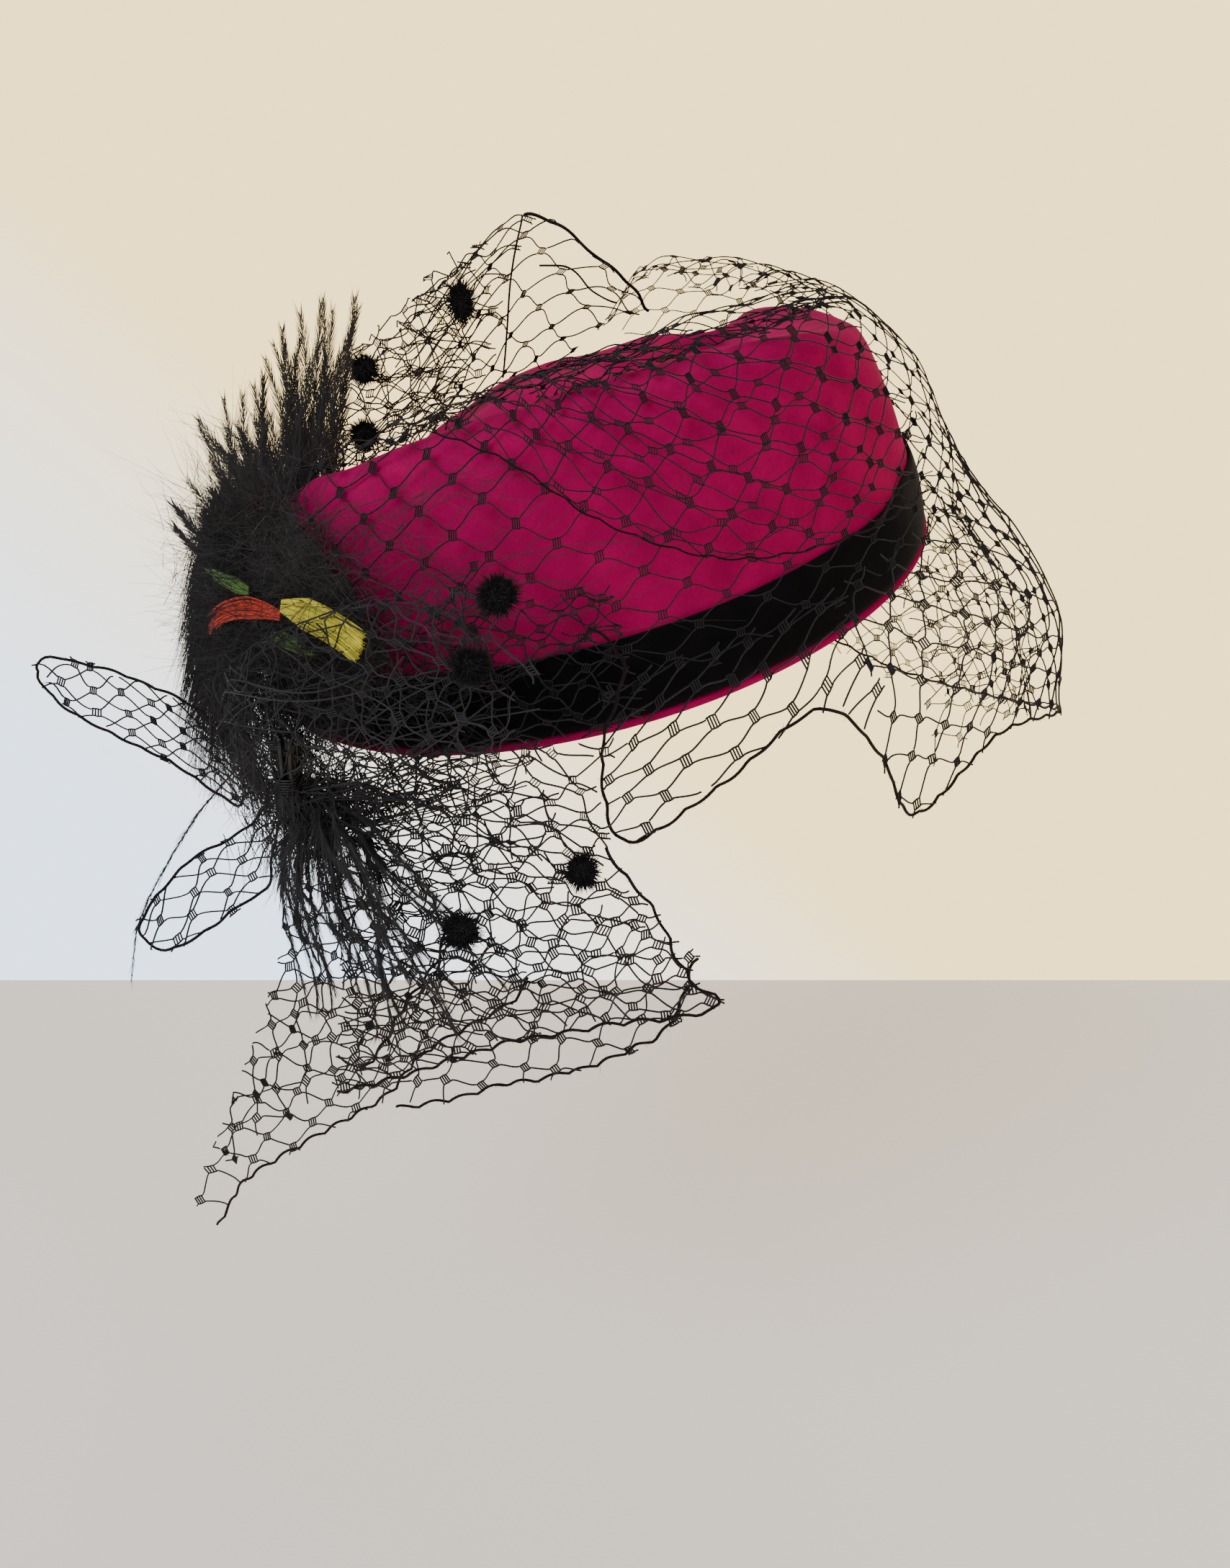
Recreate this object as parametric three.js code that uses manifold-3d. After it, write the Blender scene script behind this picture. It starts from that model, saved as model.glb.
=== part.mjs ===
// Felt toque with a velvet band, diamond veiling and a feather spray, in the form it has when worn.
// Millimetres, +Z up. The origin is the centre of the head opening; -Y is the wearer's front and +X the
// wearer's left. The felt and the band are built level and then tilted; the veiling and the feathers hang
// from them in the upright frame.
import * as THREE from 'three';
import { mergeVertices } from 'three/addons/utils/BufferGeometryUtils.js';
import Module from 'manifold-3d';

const wasm = await Module();
wasm.setup();

// ---- Driving dimensions ----
const RIM = { halfWidth: 101, halfDepth: 87 };        // felt at the head opening, outside
const FELT = 2;                                       // wall of the crown
const CLEARANCE = 0.3;                                // between neighbours that touch
const ROOT_CLEARANCE = 0.5;                           // round the roots of the hanging pieces
const BAND = { height: 20, thickness: 1.6, gap: 0.45 };
const EDGE_ROLL = { drop: 2.2, out: 1.4 };            // turned felt edge below the band
const VEIL = 1;                                       // sheet that stands for one layer of veiling
const WEAR = { sideTilt: -15.5, frontTilt: 12, turn: 9 };   // degrees about Y, X and Z

const AZIMUTH_STEPS = 60;
const NARROWEST_RING = 0.94;                          // how far the crown's rings close on the pinch

// ---- Crown: a row for each direction round the hat ----
// turn: degrees round the opening, -90 at the front; reach: ridge's distance from the middle, as a share of
// the rim's; rise: height of the ridge above the opening.
const RIDGE = [
  { turn: -180, reach: 0.735, rise: 56 },
  { turn: -150, reach: 0.775, rise: 66 },
  { turn: -135, reach: 0.775, rise: 69 },
  { turn: -120, reach: 0.67, rise: 71 },
  { turn: -90, reach: 0.58, rise: 71.5 },
  { turn: -60, reach: 0.65, rise: 71 },
  { turn: -45, reach: 0.785, rise: 69 },
  { turn: -30, reach: 0.84, rise: 64 },
  { turn: -10, reach: 0.84, rise: 59 },
  { turn: 15, reach: 0.81, rise: 58 },
  { turn: 35, reach: 0.775, rise: 57 },
  { turn: 50, reach: 0.715, rise: 55 },
  { turn: 65, reach: 0.59, rise: 54 },
  { turn: 90, reach: 0.49, rise: 56 },
  { turn: 115, reach: 0.49, rise: 50 },
  { turn: 135, reach: 0.53, rise: 45 },
  { turn: 155, reach: 0.63, rise: 47 },
];

// Wall from the band's top (step 0.25) to the ridge (step 1): share of the lean-in, share of the rise.
const WALL = [
  { step: 0, lean: 0, rise: 0 },
  { step: 0.25, lean: 0.13, rise: 0 },
  { step: 0.5, lean: 0.31, rise: 0.36 },
  { step: 0.75, lean: 0.56, rise: 0.72 },
  { step: 0.9, lean: 0.78, rise: 0.925 },
  { step: 1, lean: 1, rise: 1 },
];
const RING_STEPS = [0, 0.25, 0.45, 0.63, 0.79, 0.91, 1, 1.13, 1.28, 1.45, 1.63, 1.8];

// Pinch along the top: its floor line, and the segment that the top closes on.
const PINCH = {
  floor: [[-52, -17], [-20, -10], [20, -3], [44, 12], [56, 40]],
  depth: 26, shallowing: 10, halfWidth: 14, narrowing: 5, crownHeight: 58,
};
const TOP_SEGMENT = { from: [-52, -16], to: [34, 0] };
// Soft hollow that runs down between the front wall and the lobe at the wearer's left.
const HOLLOW = { turnAtRidge: -47, turnAtRim: -23, halfWidth: 9, depth: 2.2 };

const radians = THREE.MathUtils.degToRad;
const { clamp, lerp } = THREE.MathUtils;

// Smooth curve through (xs, ys), with slopes from the neighbouring points.
function smooth(xs, ys, x) {
  const last = xs.length - 1;
  let i = 0;
  while (i < last - 1 && x >= xs[i + 1]) i += 1;
  const slope = (k) => {
    const a = Math.max(k - 1, 0);
    const b = Math.min(k + 1, last);
    return (ys[b] - ys[a]) / (xs[b] - xs[a]);
  };
  const h = xs[i + 1] - xs[i];
  const u = (x - xs[i]) / h;
  return (2 * u ** 3 - 3 * u ** 2 + 1) * ys[i] + (u ** 3 - 2 * u ** 2 + u) * h * slope(i)
    + (3 * u ** 2 - 2 * u ** 3) * ys[i + 1] + (u ** 3 - u ** 2) * h * slope(i + 1);
}

const wrapped = [
  ...RIDGE.slice(-2).map((row) => ({ ...row, turn: row.turn - 360 })),
  ...RIDGE,
  ...RIDGE.slice(0, 2).map((row) => ({ ...row, turn: row.turn + 360 })),
];
const ridgeTurns = wrapped.map((row) => row.turn);
const wallSteps = WALL.map((row) => row.step);

function ridge(turn, key) {
  const around = ((turn + 180) % 360 + 360) % 360 - 180;
  return smooth(ridgeTurns, wrapped.map((row) => row[key]), around);
}

// Distance from the pinch's floor line and how far along it, 0 to 1.
function pinchAt(x, y) {
  let nearest = Infinity;
  let along = 0;
  let length = 0;
  for (let i = 0; i + 1 < PINCH.floor.length; i += 1) {
    const [x0, y0] = PINCH.floor[i];
    const [x1, y1] = PINCH.floor[i + 1];
    const span = Math.hypot(x1 - x0, y1 - y0);
    const u = clamp(((x - x0) * (x1 - x0) + (y - y0) * (y1 - y0)) / span ** 2, 0, 1);
    const distance = Math.hypot(x - x0 - u * (x1 - x0), y - y0 - u * (y1 - y0));
    if (distance < nearest) {
      nearest = distance;
      along = length + u * span;
    }
    length += span;
  }
  return { distance: nearest, along: along / length };
}

// Outside of the felt. step: 0 at the opening, 0.25 at the band's top, 1 on the ridge, 2 in the middle.
function crownPoint(turn, step) {
  const t = radians(turn);
  const wall = clamp(step, 0, 1);
  const top = clamp(step - 1, 0, 1);
  const lean = smooth(wallSteps, WALL.map((row) => row.lean), wall);
  const rise = smooth(wallSteps, WALL.map((row) => row.rise), wall);
  const share = 1 - (1 - ridge(turn, 'reach')) * lean;
  let x = RIM.halfWidth * share * Math.cos(t);
  let y = RIM.halfDepth * share * Math.sin(t);
  let z = wall < WALL[1].step
    ? BAND.height * wall / WALL[1].step
    : BAND.height + (ridge(turn, 'rise') - BAND.height) * rise;
  const across = 0.5 + 0.5 * Math.cos(t);
  x = lerp(x, lerp(TOP_SEGMENT.from[0], TOP_SEGMENT.to[0], across), top);
  y = lerp(y, lerp(TOP_SEGMENT.from[1], TOP_SEGMENT.to[1], across), top);
  z = lerp(z, PINCH.crownHeight, top * top * (3 - 2 * top));

  const { distance, along } = pinchAt(x, y);
  const depth = PINCH.depth - PINCH.shallowing * clamp((along - 0.75) / 0.25, 0, 1);
  const halfWidth = PINCH.halfWidth - PINCH.narrowing * clamp((along - 0.7) / 0.3, 0, 1);
  z -= depth * Math.exp(-((distance / halfWidth) ** 2)) * clamp((step - 0.55) / 0.45, 0, 1) ** 2;

  if (step < 1.15) {
    const line = lerp(HOLLOW.turnAtRim, HOLLOW.turnAtRidge, wall);
    const dent = HOLLOW.depth * Math.exp(-(((turn - line) / HOLLOW.halfWidth) ** 2)) * Math.sin(Math.PI * step / 1.15);
    x -= dent * Math.cos(t);
    y -= dent * Math.sin(t);
  }
  return new THREE.Vector3(x, y, z);
}

// Outward normal of a grid function at (u, v), by differences.
function normalOf(surface, u, v, du, dv) {
  const alongU = surface(u + du, v).sub(surface(u - du, v));
  const alongV = surface(u, v + dv).sub(surface(u, v - dv));
  return alongU.cross(alongV).normalize();
}

// ---- Solids from grids of points ----
// front and back are grids [row][column] of the same size; they are joined round their edges. wrap joins the
// last column to the first; capTop closes the last row of each face across itself instead.
function gridSolid(front, back, { wrap = false, capTop = false } = {}) {
  const rows = front.length;
  const columns = front[0].length;
  const positions = [];
  const index = [];
  for (const face of [front, back]) {
    for (const row of face) for (const p of row) positions.push(p.x, p.y, p.z);
  }
  const at = (side, i, j) => side * rows * columns + i * columns + (j % columns);
  const quad = (a, b, c, d) => index.push(a, b, c, a, c, d);
  const columnSpans = wrap ? columns : columns - 1;
  for (let i = 0; i + 1 < rows; i += 1) {
    for (let j = 0; j < columnSpans; j += 1) {
      quad(at(0, i, j), at(0, i, j + 1), at(0, i + 1, j + 1), at(0, i + 1, j));
      quad(at(1, i, j + 1), at(1, i, j), at(1, i + 1, j), at(1, i + 1, j + 1));
    }
  }
  for (let j = 0; j < columnSpans; j += 1) {
    quad(at(0, 0, j + 1), at(0, 0, j), at(1, 0, j), at(1, 0, j + 1));
    if (!capTop) quad(at(0, rows - 1, j), at(0, rows - 1, j + 1), at(1, rows - 1, j + 1), at(1, rows - 1, j));
  }
  if (!wrap) {
    for (let i = 0; i + 1 < rows; i += 1) {
      quad(at(0, i, 0), at(0, i + 1, 0), at(1, i + 1, 0), at(1, i, 0));
      quad(at(0, i + 1, columns - 1), at(0, i, columns - 1), at(1, i, columns - 1), at(1, i + 1, columns - 1));
    }
  }
  if (capTop) {
    for (let j = 0; j < columns / 2; j += 1) {
      const mirror = (k) => (columns - k) % columns;
      const across = (side, flip) => {
        const quadPoints = [at(side, rows - 1, j), at(side, rows - 1, j + 1),
          at(side, rows - 1, mirror(j + 1)), at(side, rows - 1, mirror(j))];
        const distinct = [...new Set(quadPoints)];
        if (flip) distinct.reverse();
        for (let k = 1; k + 1 < distinct.length; k += 1) index.push(distinct[0], distinct[k], distinct[k + 1]);
      };
      across(0, false);
      across(1, true);
    }
  }
  const geometry = new THREE.BufferGeometry();
  geometry.setAttribute('position', new THREE.Float32BufferAttribute(positions, 3));
  geometry.setIndex(index);
  return geometry;
}

function toSolid(geometry) {
  const bare = geometry.clone();
  bare.deleteAttribute('normal');
  bare.deleteAttribute('uv');
  const merged = mergeVertices(bare, 1e-4);
  return new wasm.Manifold(new wasm.Mesh({
    numProp: 3,
    vertProperties: new Float32Array(merged.attributes.position.array),
    triVerts: new Uint32Array(merged.index.array),
  }));
}

function fromSolid(solid) {
  const mesh = solid.getMesh();
  const geometry = new THREE.BufferGeometry();
  geometry.setAttribute('position', new THREE.Float32BufferAttribute(mesh.vertProperties, 3));
  geometry.setIndex([...mesh.triVerts]);
  return geometry;
}

// What is left of a soft piece once its neighbours, grown by the clearance, are cut out of it.
function pressedRound(geometry, neighbours) {
  let solid = toSolid(geometry);
  for (const neighbour of neighbours) solid = solid.subtract(toSolid(neighbour));
  const parts = solid.decompose().sort((a, b) => b.volume() - a.volume());
  return fromSolid(parts[0]);
}

// ---- Crown and band, level ----
const turns = Array.from({ length: AZIMUTH_STEPS }, (_, j) => -180 + j * 360 / AZIMUTH_STEPS);

function outward(turn, step) {
  return normalOf(crownPoint, turn, Math.min(step, NARROWEST_RING + 0.9), 1.5, 0.02);
}

function feltOffset(turn, step, off) {
  return crownPoint(turn, step).addScaledVector(outward(turn, step), off);
}

function crownGeometry(outside, inside) {
  const radial = (turn) => new THREE.Vector3(Math.cos(radians(turn)), Math.sin(radians(turn)), 0);
  const lip = (z, off) => turns.map((turn) => {
    const p = crownPoint(turn, 0).addScaledVector(radial(turn), off);
    p.z = z;
    return p;
  });
  const front = [lip(-EDGE_ROLL.drop, EDGE_ROLL.out * 0.6), lip(-CLEARANCE - 0.6, EDGE_ROLL.out),
    lip(-CLEARANCE, EDGE_ROLL.out * 0.6), ...RING_STEPS.map((step) => turns.map((turn) => feltOffset(turn, step, outside)))];
  const back = [lip(-EDGE_ROLL.drop, -inside), lip(-CLEARANCE - 0.6, -inside),
    lip(-CLEARANCE, -inside), ...RING_STEPS.map((step) => turns.map((turn) => feltOffset(turn, step, -inside)))];
  return gridSolid(front, back, { wrap: true, capTop: true });
}

function bandGeometry(inside, outside) {
  const steps = [0, 0.06, 0.19, 0.25];
  const crowned = [0.7, 1, 1, 0.7];
  const front = steps.map((step, i) => turns.map((turn) => feltOffset(turn, step, lerp(inside, outside, crowned[i]))));
  const back = steps.map((step) => turns.map((turn) => feltOffset(turn, step, inside)));
  return gridSolid(front, back, { wrap: true });
}

// ---- Placing things on the tilted hat ----
const hatMatrix = new THREE.Matrix4().makeRotationFromEuler(
  new THREE.Euler(radians(WEAR.frontTilt), radians(WEAR.sideTilt), radians(WEAR.turn), 'ZYX'),
);

// A point that stands off the felt, in the upright frame: out from the wall, and up from the top.
function onHat(turn, step, off) {
  const t = radians(turn);
  const slope = radians(lerp(18, 88, clamp((step - 0.45) / 0.75, 0, 1)));
  const away = new THREE.Vector3(Math.cos(t) * Math.cos(slope), Math.sin(t) * Math.cos(slope), Math.sin(slope));
  return crownPoint(turn, step).addScaledVector(away, off).applyMatrix4(hatMatrix);
}

const point = ([x, y, z]) => new THREE.Vector3(x, y, z);

// Point on a curve, carried straight on past its ends.
function pointPast(curve, t) {
  const inside = clamp(t, 0, 1);
  const p = curve.getPoint(inside);
  if (t === inside) return p;
  const back = inside === 0 ? 0.01 : -0.01;
  const heading = curve.getPoint(inside + back).sub(p);
  return p.addScaledVector(heading, (t - inside) / back);
}

// Surface through a table of sections: each section is a list of points from one edge to the other.
function surfaceThrough(sections) {
  const spline = (points) => new THREE.CatmullRomCurve3(points, false, 'catmullrom', 0.5);
  const sectionCurves = sections.map(spline);
  return (u, v) => pointPast(spline(sectionCurves.map((curve) => pointPast(curve, v))), u);
}

// Length of a path given as a function of 0 to 1.
function lengthOf(path) {
  let total = 0;
  for (let k = 0; k < 8; k += 1) total += path(k / 8).distanceTo(path((k + 1) / 8));
  return total;
}

// Thin solid either side of a surface, grown all round when it is to be cut out of a neighbour.
function sheet(surface, columns, rows, thickness, grow = 0) {
  const pastU = grow / Math.min(...[0, 0.5, 1].map((v) => lengthOf((t) => surface(t, v))));
  const pastV = grow / Math.min(...[0, 0.5, 1].map((u) => lengthOf((t) => surface(u, t))));
  const face = (side) => Array.from({ length: rows + 1 }, (_, i) => Array.from({ length: columns + 1 }, (__, j) => {
    const u = lerp(-pastU, 1 + pastU, j / columns);
    const v = lerp(-pastV, 1 + pastV, i / rows);
    return surface(u, v).addScaledVector(normalOf(surface, u, v, 0.01, 0.01), side * (thickness / 2 + grow));
  }));
  return gridSolid(face(1), face(-1));
}

// ---- Veiling ----
// Front veil, a row for each fold from the gather round the front to the back. hem: the corded lower edge;
// bulge: how far the skirt stands out between the hem and the foot;
// foot: step of the crown where the veil reaches the wall; near, far: stand-off at the foot and the ridge;
// reach: last step of the crown that it covers; over: stand-off there.
const FACE_FOLDS = [
  { turn: -160, hem: [-93, -46, -33], bulge: 3, foot: 0.1, near: 4, far: 4, reach: 1.28, over: 3 },
  { turn: -142, hem: [-70, -72, -29], bulge: 3, foot: 0.15, near: 4, far: 4, reach: 1.28, over: 3 },
  { turn: -126, hem: [-43, -91, -12], bulge: 3, foot: 0.3, near: 4, far: 3.5, reach: 1.28, over: 3 },
  { turn: -113, hem: [-17, -95, 10], bulge: 3, foot: 0.55, near: 3.5, far: 3.5, reach: 1.28, over: 3 },
  { turn: -104, hem: [7, -98, 0], bulge: 3, foot: 0.4, near: 3.5, far: 3.5, reach: 1.28, over: 3 },
  { turn: -97, hem: [3, -102, -22], bulge: 3, foot: 0.18, near: 5, far: 3.5, reach: 1.28, over: 3 },
  { turn: -91, hem: [8, -108, -43], bulge: 3, foot: 0.12, near: 6, far: 3.5, reach: 1.28, over: 3 },
  { turn: -82, hem: [30, -114, -27], bulge: 3, foot: 0.12, near: 6, far: 3.5, reach: 1.28, over: 3 },
  { turn: -73, hem: [53, -109, -10], bulge: 3, foot: 0.12, near: 6, far: 4, reach: 1.28, over: 3 },
  { turn: -63, hem: [70, -99, -24], bulge: 3, foot: 0.12, near: 7, far: 4, reach: 1.28, over: 4 },
  { turn: -53, hem: [84, -85, -45], bulge: 4, foot: 0.12, near: 9, far: 5, reach: 1.28, over: 5 },
  { turn: -41, hem: [112, -58, -32], bulge: 7, foot: 0.12, near: 11, far: 7, reach: 1.28, over: 6 },
  { turn: -27, hem: [138, -30, -34], bulge: 12, foot: 0.12, near: 14, far: 9, reach: 1.28, over: 8 },
  { turn: -9, hem: [143, 4, -42], bulge: 12, foot: 0.12, near: 15, far: 10, reach: 1.25, over: 10 },
  { turn: 14, hem: [130, 38, -46], bulge: 9, foot: 0.12, near: 15, far: 13, reach: 1.22, over: 14 },
  { turn: 34, hem: [106, 60, -42], bulge: 6, foot: 0.12, near: 15, far: 20, reach: 1.18, over: 22 },
  { turn: 52, hem: [72, 80, -28], bulge: 4, foot: 0.12, near: 14, far: 21, reach: 1.1, over: 21 },
  { turn: 64, hem: [44, 92, -16], bulge: 3, foot: 0.12, near: 12, far: 11, reach: 1, over: 9 },
];

function faceSection(fold) {
  const foot = onHat(fold.turn, fold.foot, fold.near);
  const hem = point(fold.hem);
  const skirt = hem.clone().lerp(foot, 0.5);
  const out = new THREE.Vector3(skirt.x, skirt.y, 0).normalize();
  const middle = (fold.foot + 1) / 2;
  return [
    hem,
    skirt.addScaledVector(out, fold.bulge),
    foot,
    onHat(fold.turn, middle, lerp(fold.near, fold.far, 0.5)),
    onHat(fold.turn, lerp(0.93, 1, fold.reach > 1 ? 1 : 0), fold.far),
    onHat(fold.turn, fold.reach, fold.over),
  ];
}

// Cut end laid over the front of the crown. cut: step of the crown that the cut edge reaches down to; low and
// high: stand-off at the cut edge and at the ridge, clear of the front veil.
const CROWN_LAYER_FOLDS = [
  { turn: -121, cut: 0.98, low: 6, high: 6 },
  { turn: -104, cut: 0.8, low: 6.6, high: 6.8 },
  { turn: -92, cut: 0.6, low: 6.8, high: 6.8 },
  { turn: -79, cut: 0.43, low: 7.6, high: 6.2 },
  { turn: -66, cut: 0.34, low: 9.6, high: 7 },
  { turn: -52, cut: 0.29, low: 12, high: 8.5 },
  { turn: -38, cut: 0.26, low: 14.5, high: 11 },
];
const CROWN_LAYER_REACH = 1.34;

function crownLayerSection({ turn, cut, low, high }) {
  return [
    onHat(turn, cut, low),
    onHat(turn, lerp(cut, 1, 0.5), lerp(low, high, 0.5)),
    onHat(turn, 1, high),
    onHat(turn, CROWN_LAYER_REACH, high),
  ];
}

// Standing fold behind the ridge, level with the hat: it starts inside the back ridge, rises to the crest and
// falls to the back wall.
const PUFF_FOLDS = [
  { turn: 172, crest: [-66, 26, 62] },
  { turn: 158, crest: [-47, 36, 76] },
  { turn: 143, crest: [-26, 36, 86] },
  { turn: 126, crest: [-11, 36, 93] },
  { turn: 110, crest: [9, 35, 101] },
  { turn: 96, crest: [22, 26, 91] },
  { turn: 85, crest: [32, 22, 77] },
  { turn: 76, crest: [39, 22, 67] },
];
const PUFF = { footStep: 1.14, heelStep: 0.62, seat: 1, belly: 5 };

function puffSection(fold) {
  const foot = onHat(fold.turn, PUFF.footStep, PUFF.seat);
  const heel = onHat(fold.turn, PUFF.heelStep, PUFF.seat);
  const crest = point(fold.crest).applyMatrix4(hatMatrix);
  const rise = foot.clone().lerp(crest, 0.5).add(new THREE.Vector3(0, -PUFF.belly, PUFF.belly));
  const fall = heel.clone().lerp(crest, 0.5).add(new THREE.Vector3(0, PUFF.belly, PUFF.belly));
  return [foot, rise, crest, fall, heel];
}

// Pieces that hang from the gather, upright frame; a row for each fold.
const WING_FRONT_FOLDS = [
  { root: [-36, -93, -33], middle: [-12, -101, -37], end: [6, -111, -46] },
  { root: [-45, -90, -38], middle: [-14, -103, -50], end: [16, -112, -60] },
  { root: [-53, -86, -42], middle: [-18, -104, -62], end: [24, -114, -76] },
  { root: [-60, -83, -46], middle: [-25, -104, -71], end: [31, -116, -84] },
  { root: [-65, -80, -49], middle: [-34, -101, -76], end: [2, -111, -92] },
  { root: [-69, -78, -51], middle: [-45, -98, -80], end: [-20, -105, -100] },
  { root: [-73, -76, -53], middle: [-56, -94, -84], end: [-44, -98, -113] },
  { root: [-77, -74, -55], middle: [-66, -91, -87], end: [-71, -92, -125] },
];
const WING_BACK_FOLDS = [
  { root: [-54, -79, -50], middle: [-12, -92, -62], end: [27, -101, -77] },
  { root: [-59, -77, -52], middle: [-16, -92, -74], end: [21, -101, -97] },
  { root: [-63, -75, -54], middle: [-24, -90, -82], end: [10, -99, -107] },
  { root: [-67, -73, -56], middle: [-34, -87, -88], end: [-6, -94, -117] },
  { root: [-71, -71, -57], middle: [-46, -84, -92], end: [-25, -88, -125] },
  { root: [-75, -69, -58], middle: [-59, -81, -96], end: [-51, -83, -135] },
  { root: [-79, -67, -58], middle: [-70, -78, -97], end: [-76, -79, -135] },
  { root: [-82, -66, -57], middle: [-80, -74, -88], end: [-96, -74, -115] },
];
const TAIL_FOLDS = [
  { root: [-72, -63, -53], middle: [-52, -66, -68], end: [-29, -70, -88] },
  { root: [-74, -62, -53], middle: [-52, -66, -80], end: [-20, -72, -104] },
  { root: [-76, -61, -53], middle: [-60, -66, -92], end: [-49, -73, -124] },
  { root: [-78, -60, -53], middle: [-70, -66, -102], end: [-64, -71, -142] },
  { root: [-80, -59, -53], middle: [-82, -64, -110], end: [-105, -69, -170] },
  { root: [-82, -58, -53], middle: [-90, -62, -110], end: [-119, -67, -191] },
  { root: [-84, -57, -53], middle: [-93, -60, -106], end: [-124, -65, -180] },
  { root: [-86, -56, -53], middle: [-94, -59, -94], end: [-112, -64, -149] },
  { root: [-88, -55, -53], middle: [-95, -58, -82], end: [-99, -63, -117] },
  { root: [-90, -54, -52], middle: [-95, -57, -74], end: [-95, -62, -94] },
];
// Narrow loops, a row for each station from the gather to the tip.
const LOOP_HIGH_STATIONS = [
  { upper: [-93, -54, -45], lower: [-90, -59, -50] },
  { upper: [-104, -48, -36], lower: [-96, -58, -50] },
  { upper: [-116, -43, -28], lower: [-100, -58, -53] },
  { upper: [-126, -41, -24], lower: [-117, -52, -44] },
  { upper: [-136, -40, -20], lower: [-128, -50, -39] },
  { upper: [-146, -40, -17], lower: [-147, -46, -30] },
  { upper: [-154, -40, -14], lower: [-155, -43, -24] },
  { upper: [-158, -40, -16], lower: [-159, -41, -20] },
];
const LOOP_LOW_STATIONS = [
  { upper: [-88, -60, -51], lower: [-85, -63, -53] },
  { upper: [-93, -66, -55], lower: [-87, -70, -60] },
  { upper: [-99, -69, -59], lower: [-88, -75, -70] },
  { upper: [-108, -71, -63], lower: [-96, -77, -75] },
  { upper: [-115, -73, -69], lower: [-104, -78, -81] },
  { upper: [-122, -75, -76], lower: [-116, -79, -88] },
  { upper: [-126, -76, -81], lower: [-125, -77, -86] },
];
// Bunched veiling over the feather base, from the tie towards the front.
const GATHER_FOLDS = [
  { low: [-88, -62, -53], middle: [-93, -66, -38], high: [-95, -64, -20] },
  { low: [-74, -74, -49], middle: [-78, -81, -30], high: [-84, -80, -8] },
  { low: [-56, -85, -42], middle: [-59, -93, -22], high: [-64, -92, 2] },
  { low: [-36, -94, -35], middle: [-36, -102, -14], high: [-40, -98, 10] },
  { low: [-14, -100, -29], middle: [-10, -107, -10], high: [-15, -104, 12] },
];
const GATHER_THICKNESS = 3;

const hanging = (folds) => surfaceThrough(folds.map(({ root, middle, end }) => [root, middle, end].map(point)));
const looped = (stations) => surfaceThrough(stations.map(({ upper, lower }) => {
  const a = point(upper);
  const b = point(lower);
  return [a, a.clone().lerp(b, 0.5), b];
}));

const veils = {
  veil_face: { surface: surfaceThrough(FACE_FOLDS.map(faceSection)), columns: 50, rows: 12 },
  veil_crown_layer: { surface: surfaceThrough(CROWN_LAYER_FOLDS.map(crownLayerSection)), columns: 15, rows: 7 },
  veil_puff: { surface: surfaceThrough(PUFF_FOLDS.map(puffSection)), columns: 18, rows: 12 },
  veil_wing_front: { surface: hanging(WING_FRONT_FOLDS), columns: 14, rows: 6 },
  veil_wing_back: { surface: hanging(WING_BACK_FOLDS), columns: 14, rows: 6 },
  veil_tail: { surface: hanging(TAIL_FOLDS), columns: 18, rows: 7 },
  veil_loop_high: { surface: looped(LOOP_HIGH_STATIONS), columns: 12, rows: 3 },
  veil_loop_low: { surface: looped(LOOP_LOW_STATIONS), columns: 12, rows: 3 },
};
for (const veil of Object.values(veils)) {
  veil.solid = (grow) => sheet(veil.surface, veil.columns, veil.rows, VEIL, grow);
}
const gatherSurface = surfaceThrough(GATHER_FOLDS.map(({ low, middle, high }) => [low, middle, high].map(point)));

// ---- Feathers ----
// Pad of flue against the crown, between two stand-offs.
const PAD = { from: -168, to: -120, lowStep: 0.06, highStep: 0.86, inner: 6.5, outer: 15 };
const PLUME_UP_FOLDS = [
  { root: [-70, -64, 18], middle: [-70, -46, 52], end: [-63, -30, 78] },
  { root: [-75, -63, 16], middle: [-77, -46, 53], end: [-72, -30, 82] },
  { root: [-79, -62, 14], middle: [-84, -46, 46], end: [-84, -32, 69] },
  { root: [-83, -60, 11], middle: [-89, -47, 40], end: [-92, -33, 63] },
  { root: [-86, -58, 8], middle: [-94, -48, 31], end: [-103, -36, 47] },
  { root: [-90, -55, 4], middle: [-98, -49, 20], end: [-109, -41, 24] },
];
const FRINGE_FOLDS = [
  { root: [-107, -24, 22], middle: [-114, -26, 6], end: [-120, -28, -14] },
  { root: [-104, -28, 14], middle: [-112, -31, -8], end: [-121, -31, -36] },
  { root: [-101, -32, 6], middle: [-108, -35, -20], end: [-116, -34, -50] },
  { root: [-98, -37, -4], middle: [-104, -38, -28], end: [-104, -37, -56] },
];
const PLUME_DOWN_FOLDS = [
  { root: [-82, -77, -48], middle: [-81, -87, -62], end: [-79, -94, -81] },
  { root: [-75, -79, -46], middle: [-73, -92, -66], end: [-66, -99, -88] },
  { root: [-67, -84, -44], middle: [-62, -97, -68], end: [-48, -105, -95] },
  { root: [-59, -89, -41], middle: [-52, -100, -60], end: [-38, -108, -86] },
  { root: [-51, -93, -39], middle: [-44, -103, -52], end: [-30, -111, -64] },
];
const FEATHER = { plume: 3, fringe: 4, vane: 1.2 };
const QUILL = { top: [-77, -84, -24], bottom: [-79, -80, -50], radius: 4.2, neck: 3.4 };
// Knot of thread and veiling that holds the hanging pieces, behind the gather.
const TIE = { from: [-92, -54, -51], to: [-48, -80, -46], radius: 6.5 };

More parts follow.
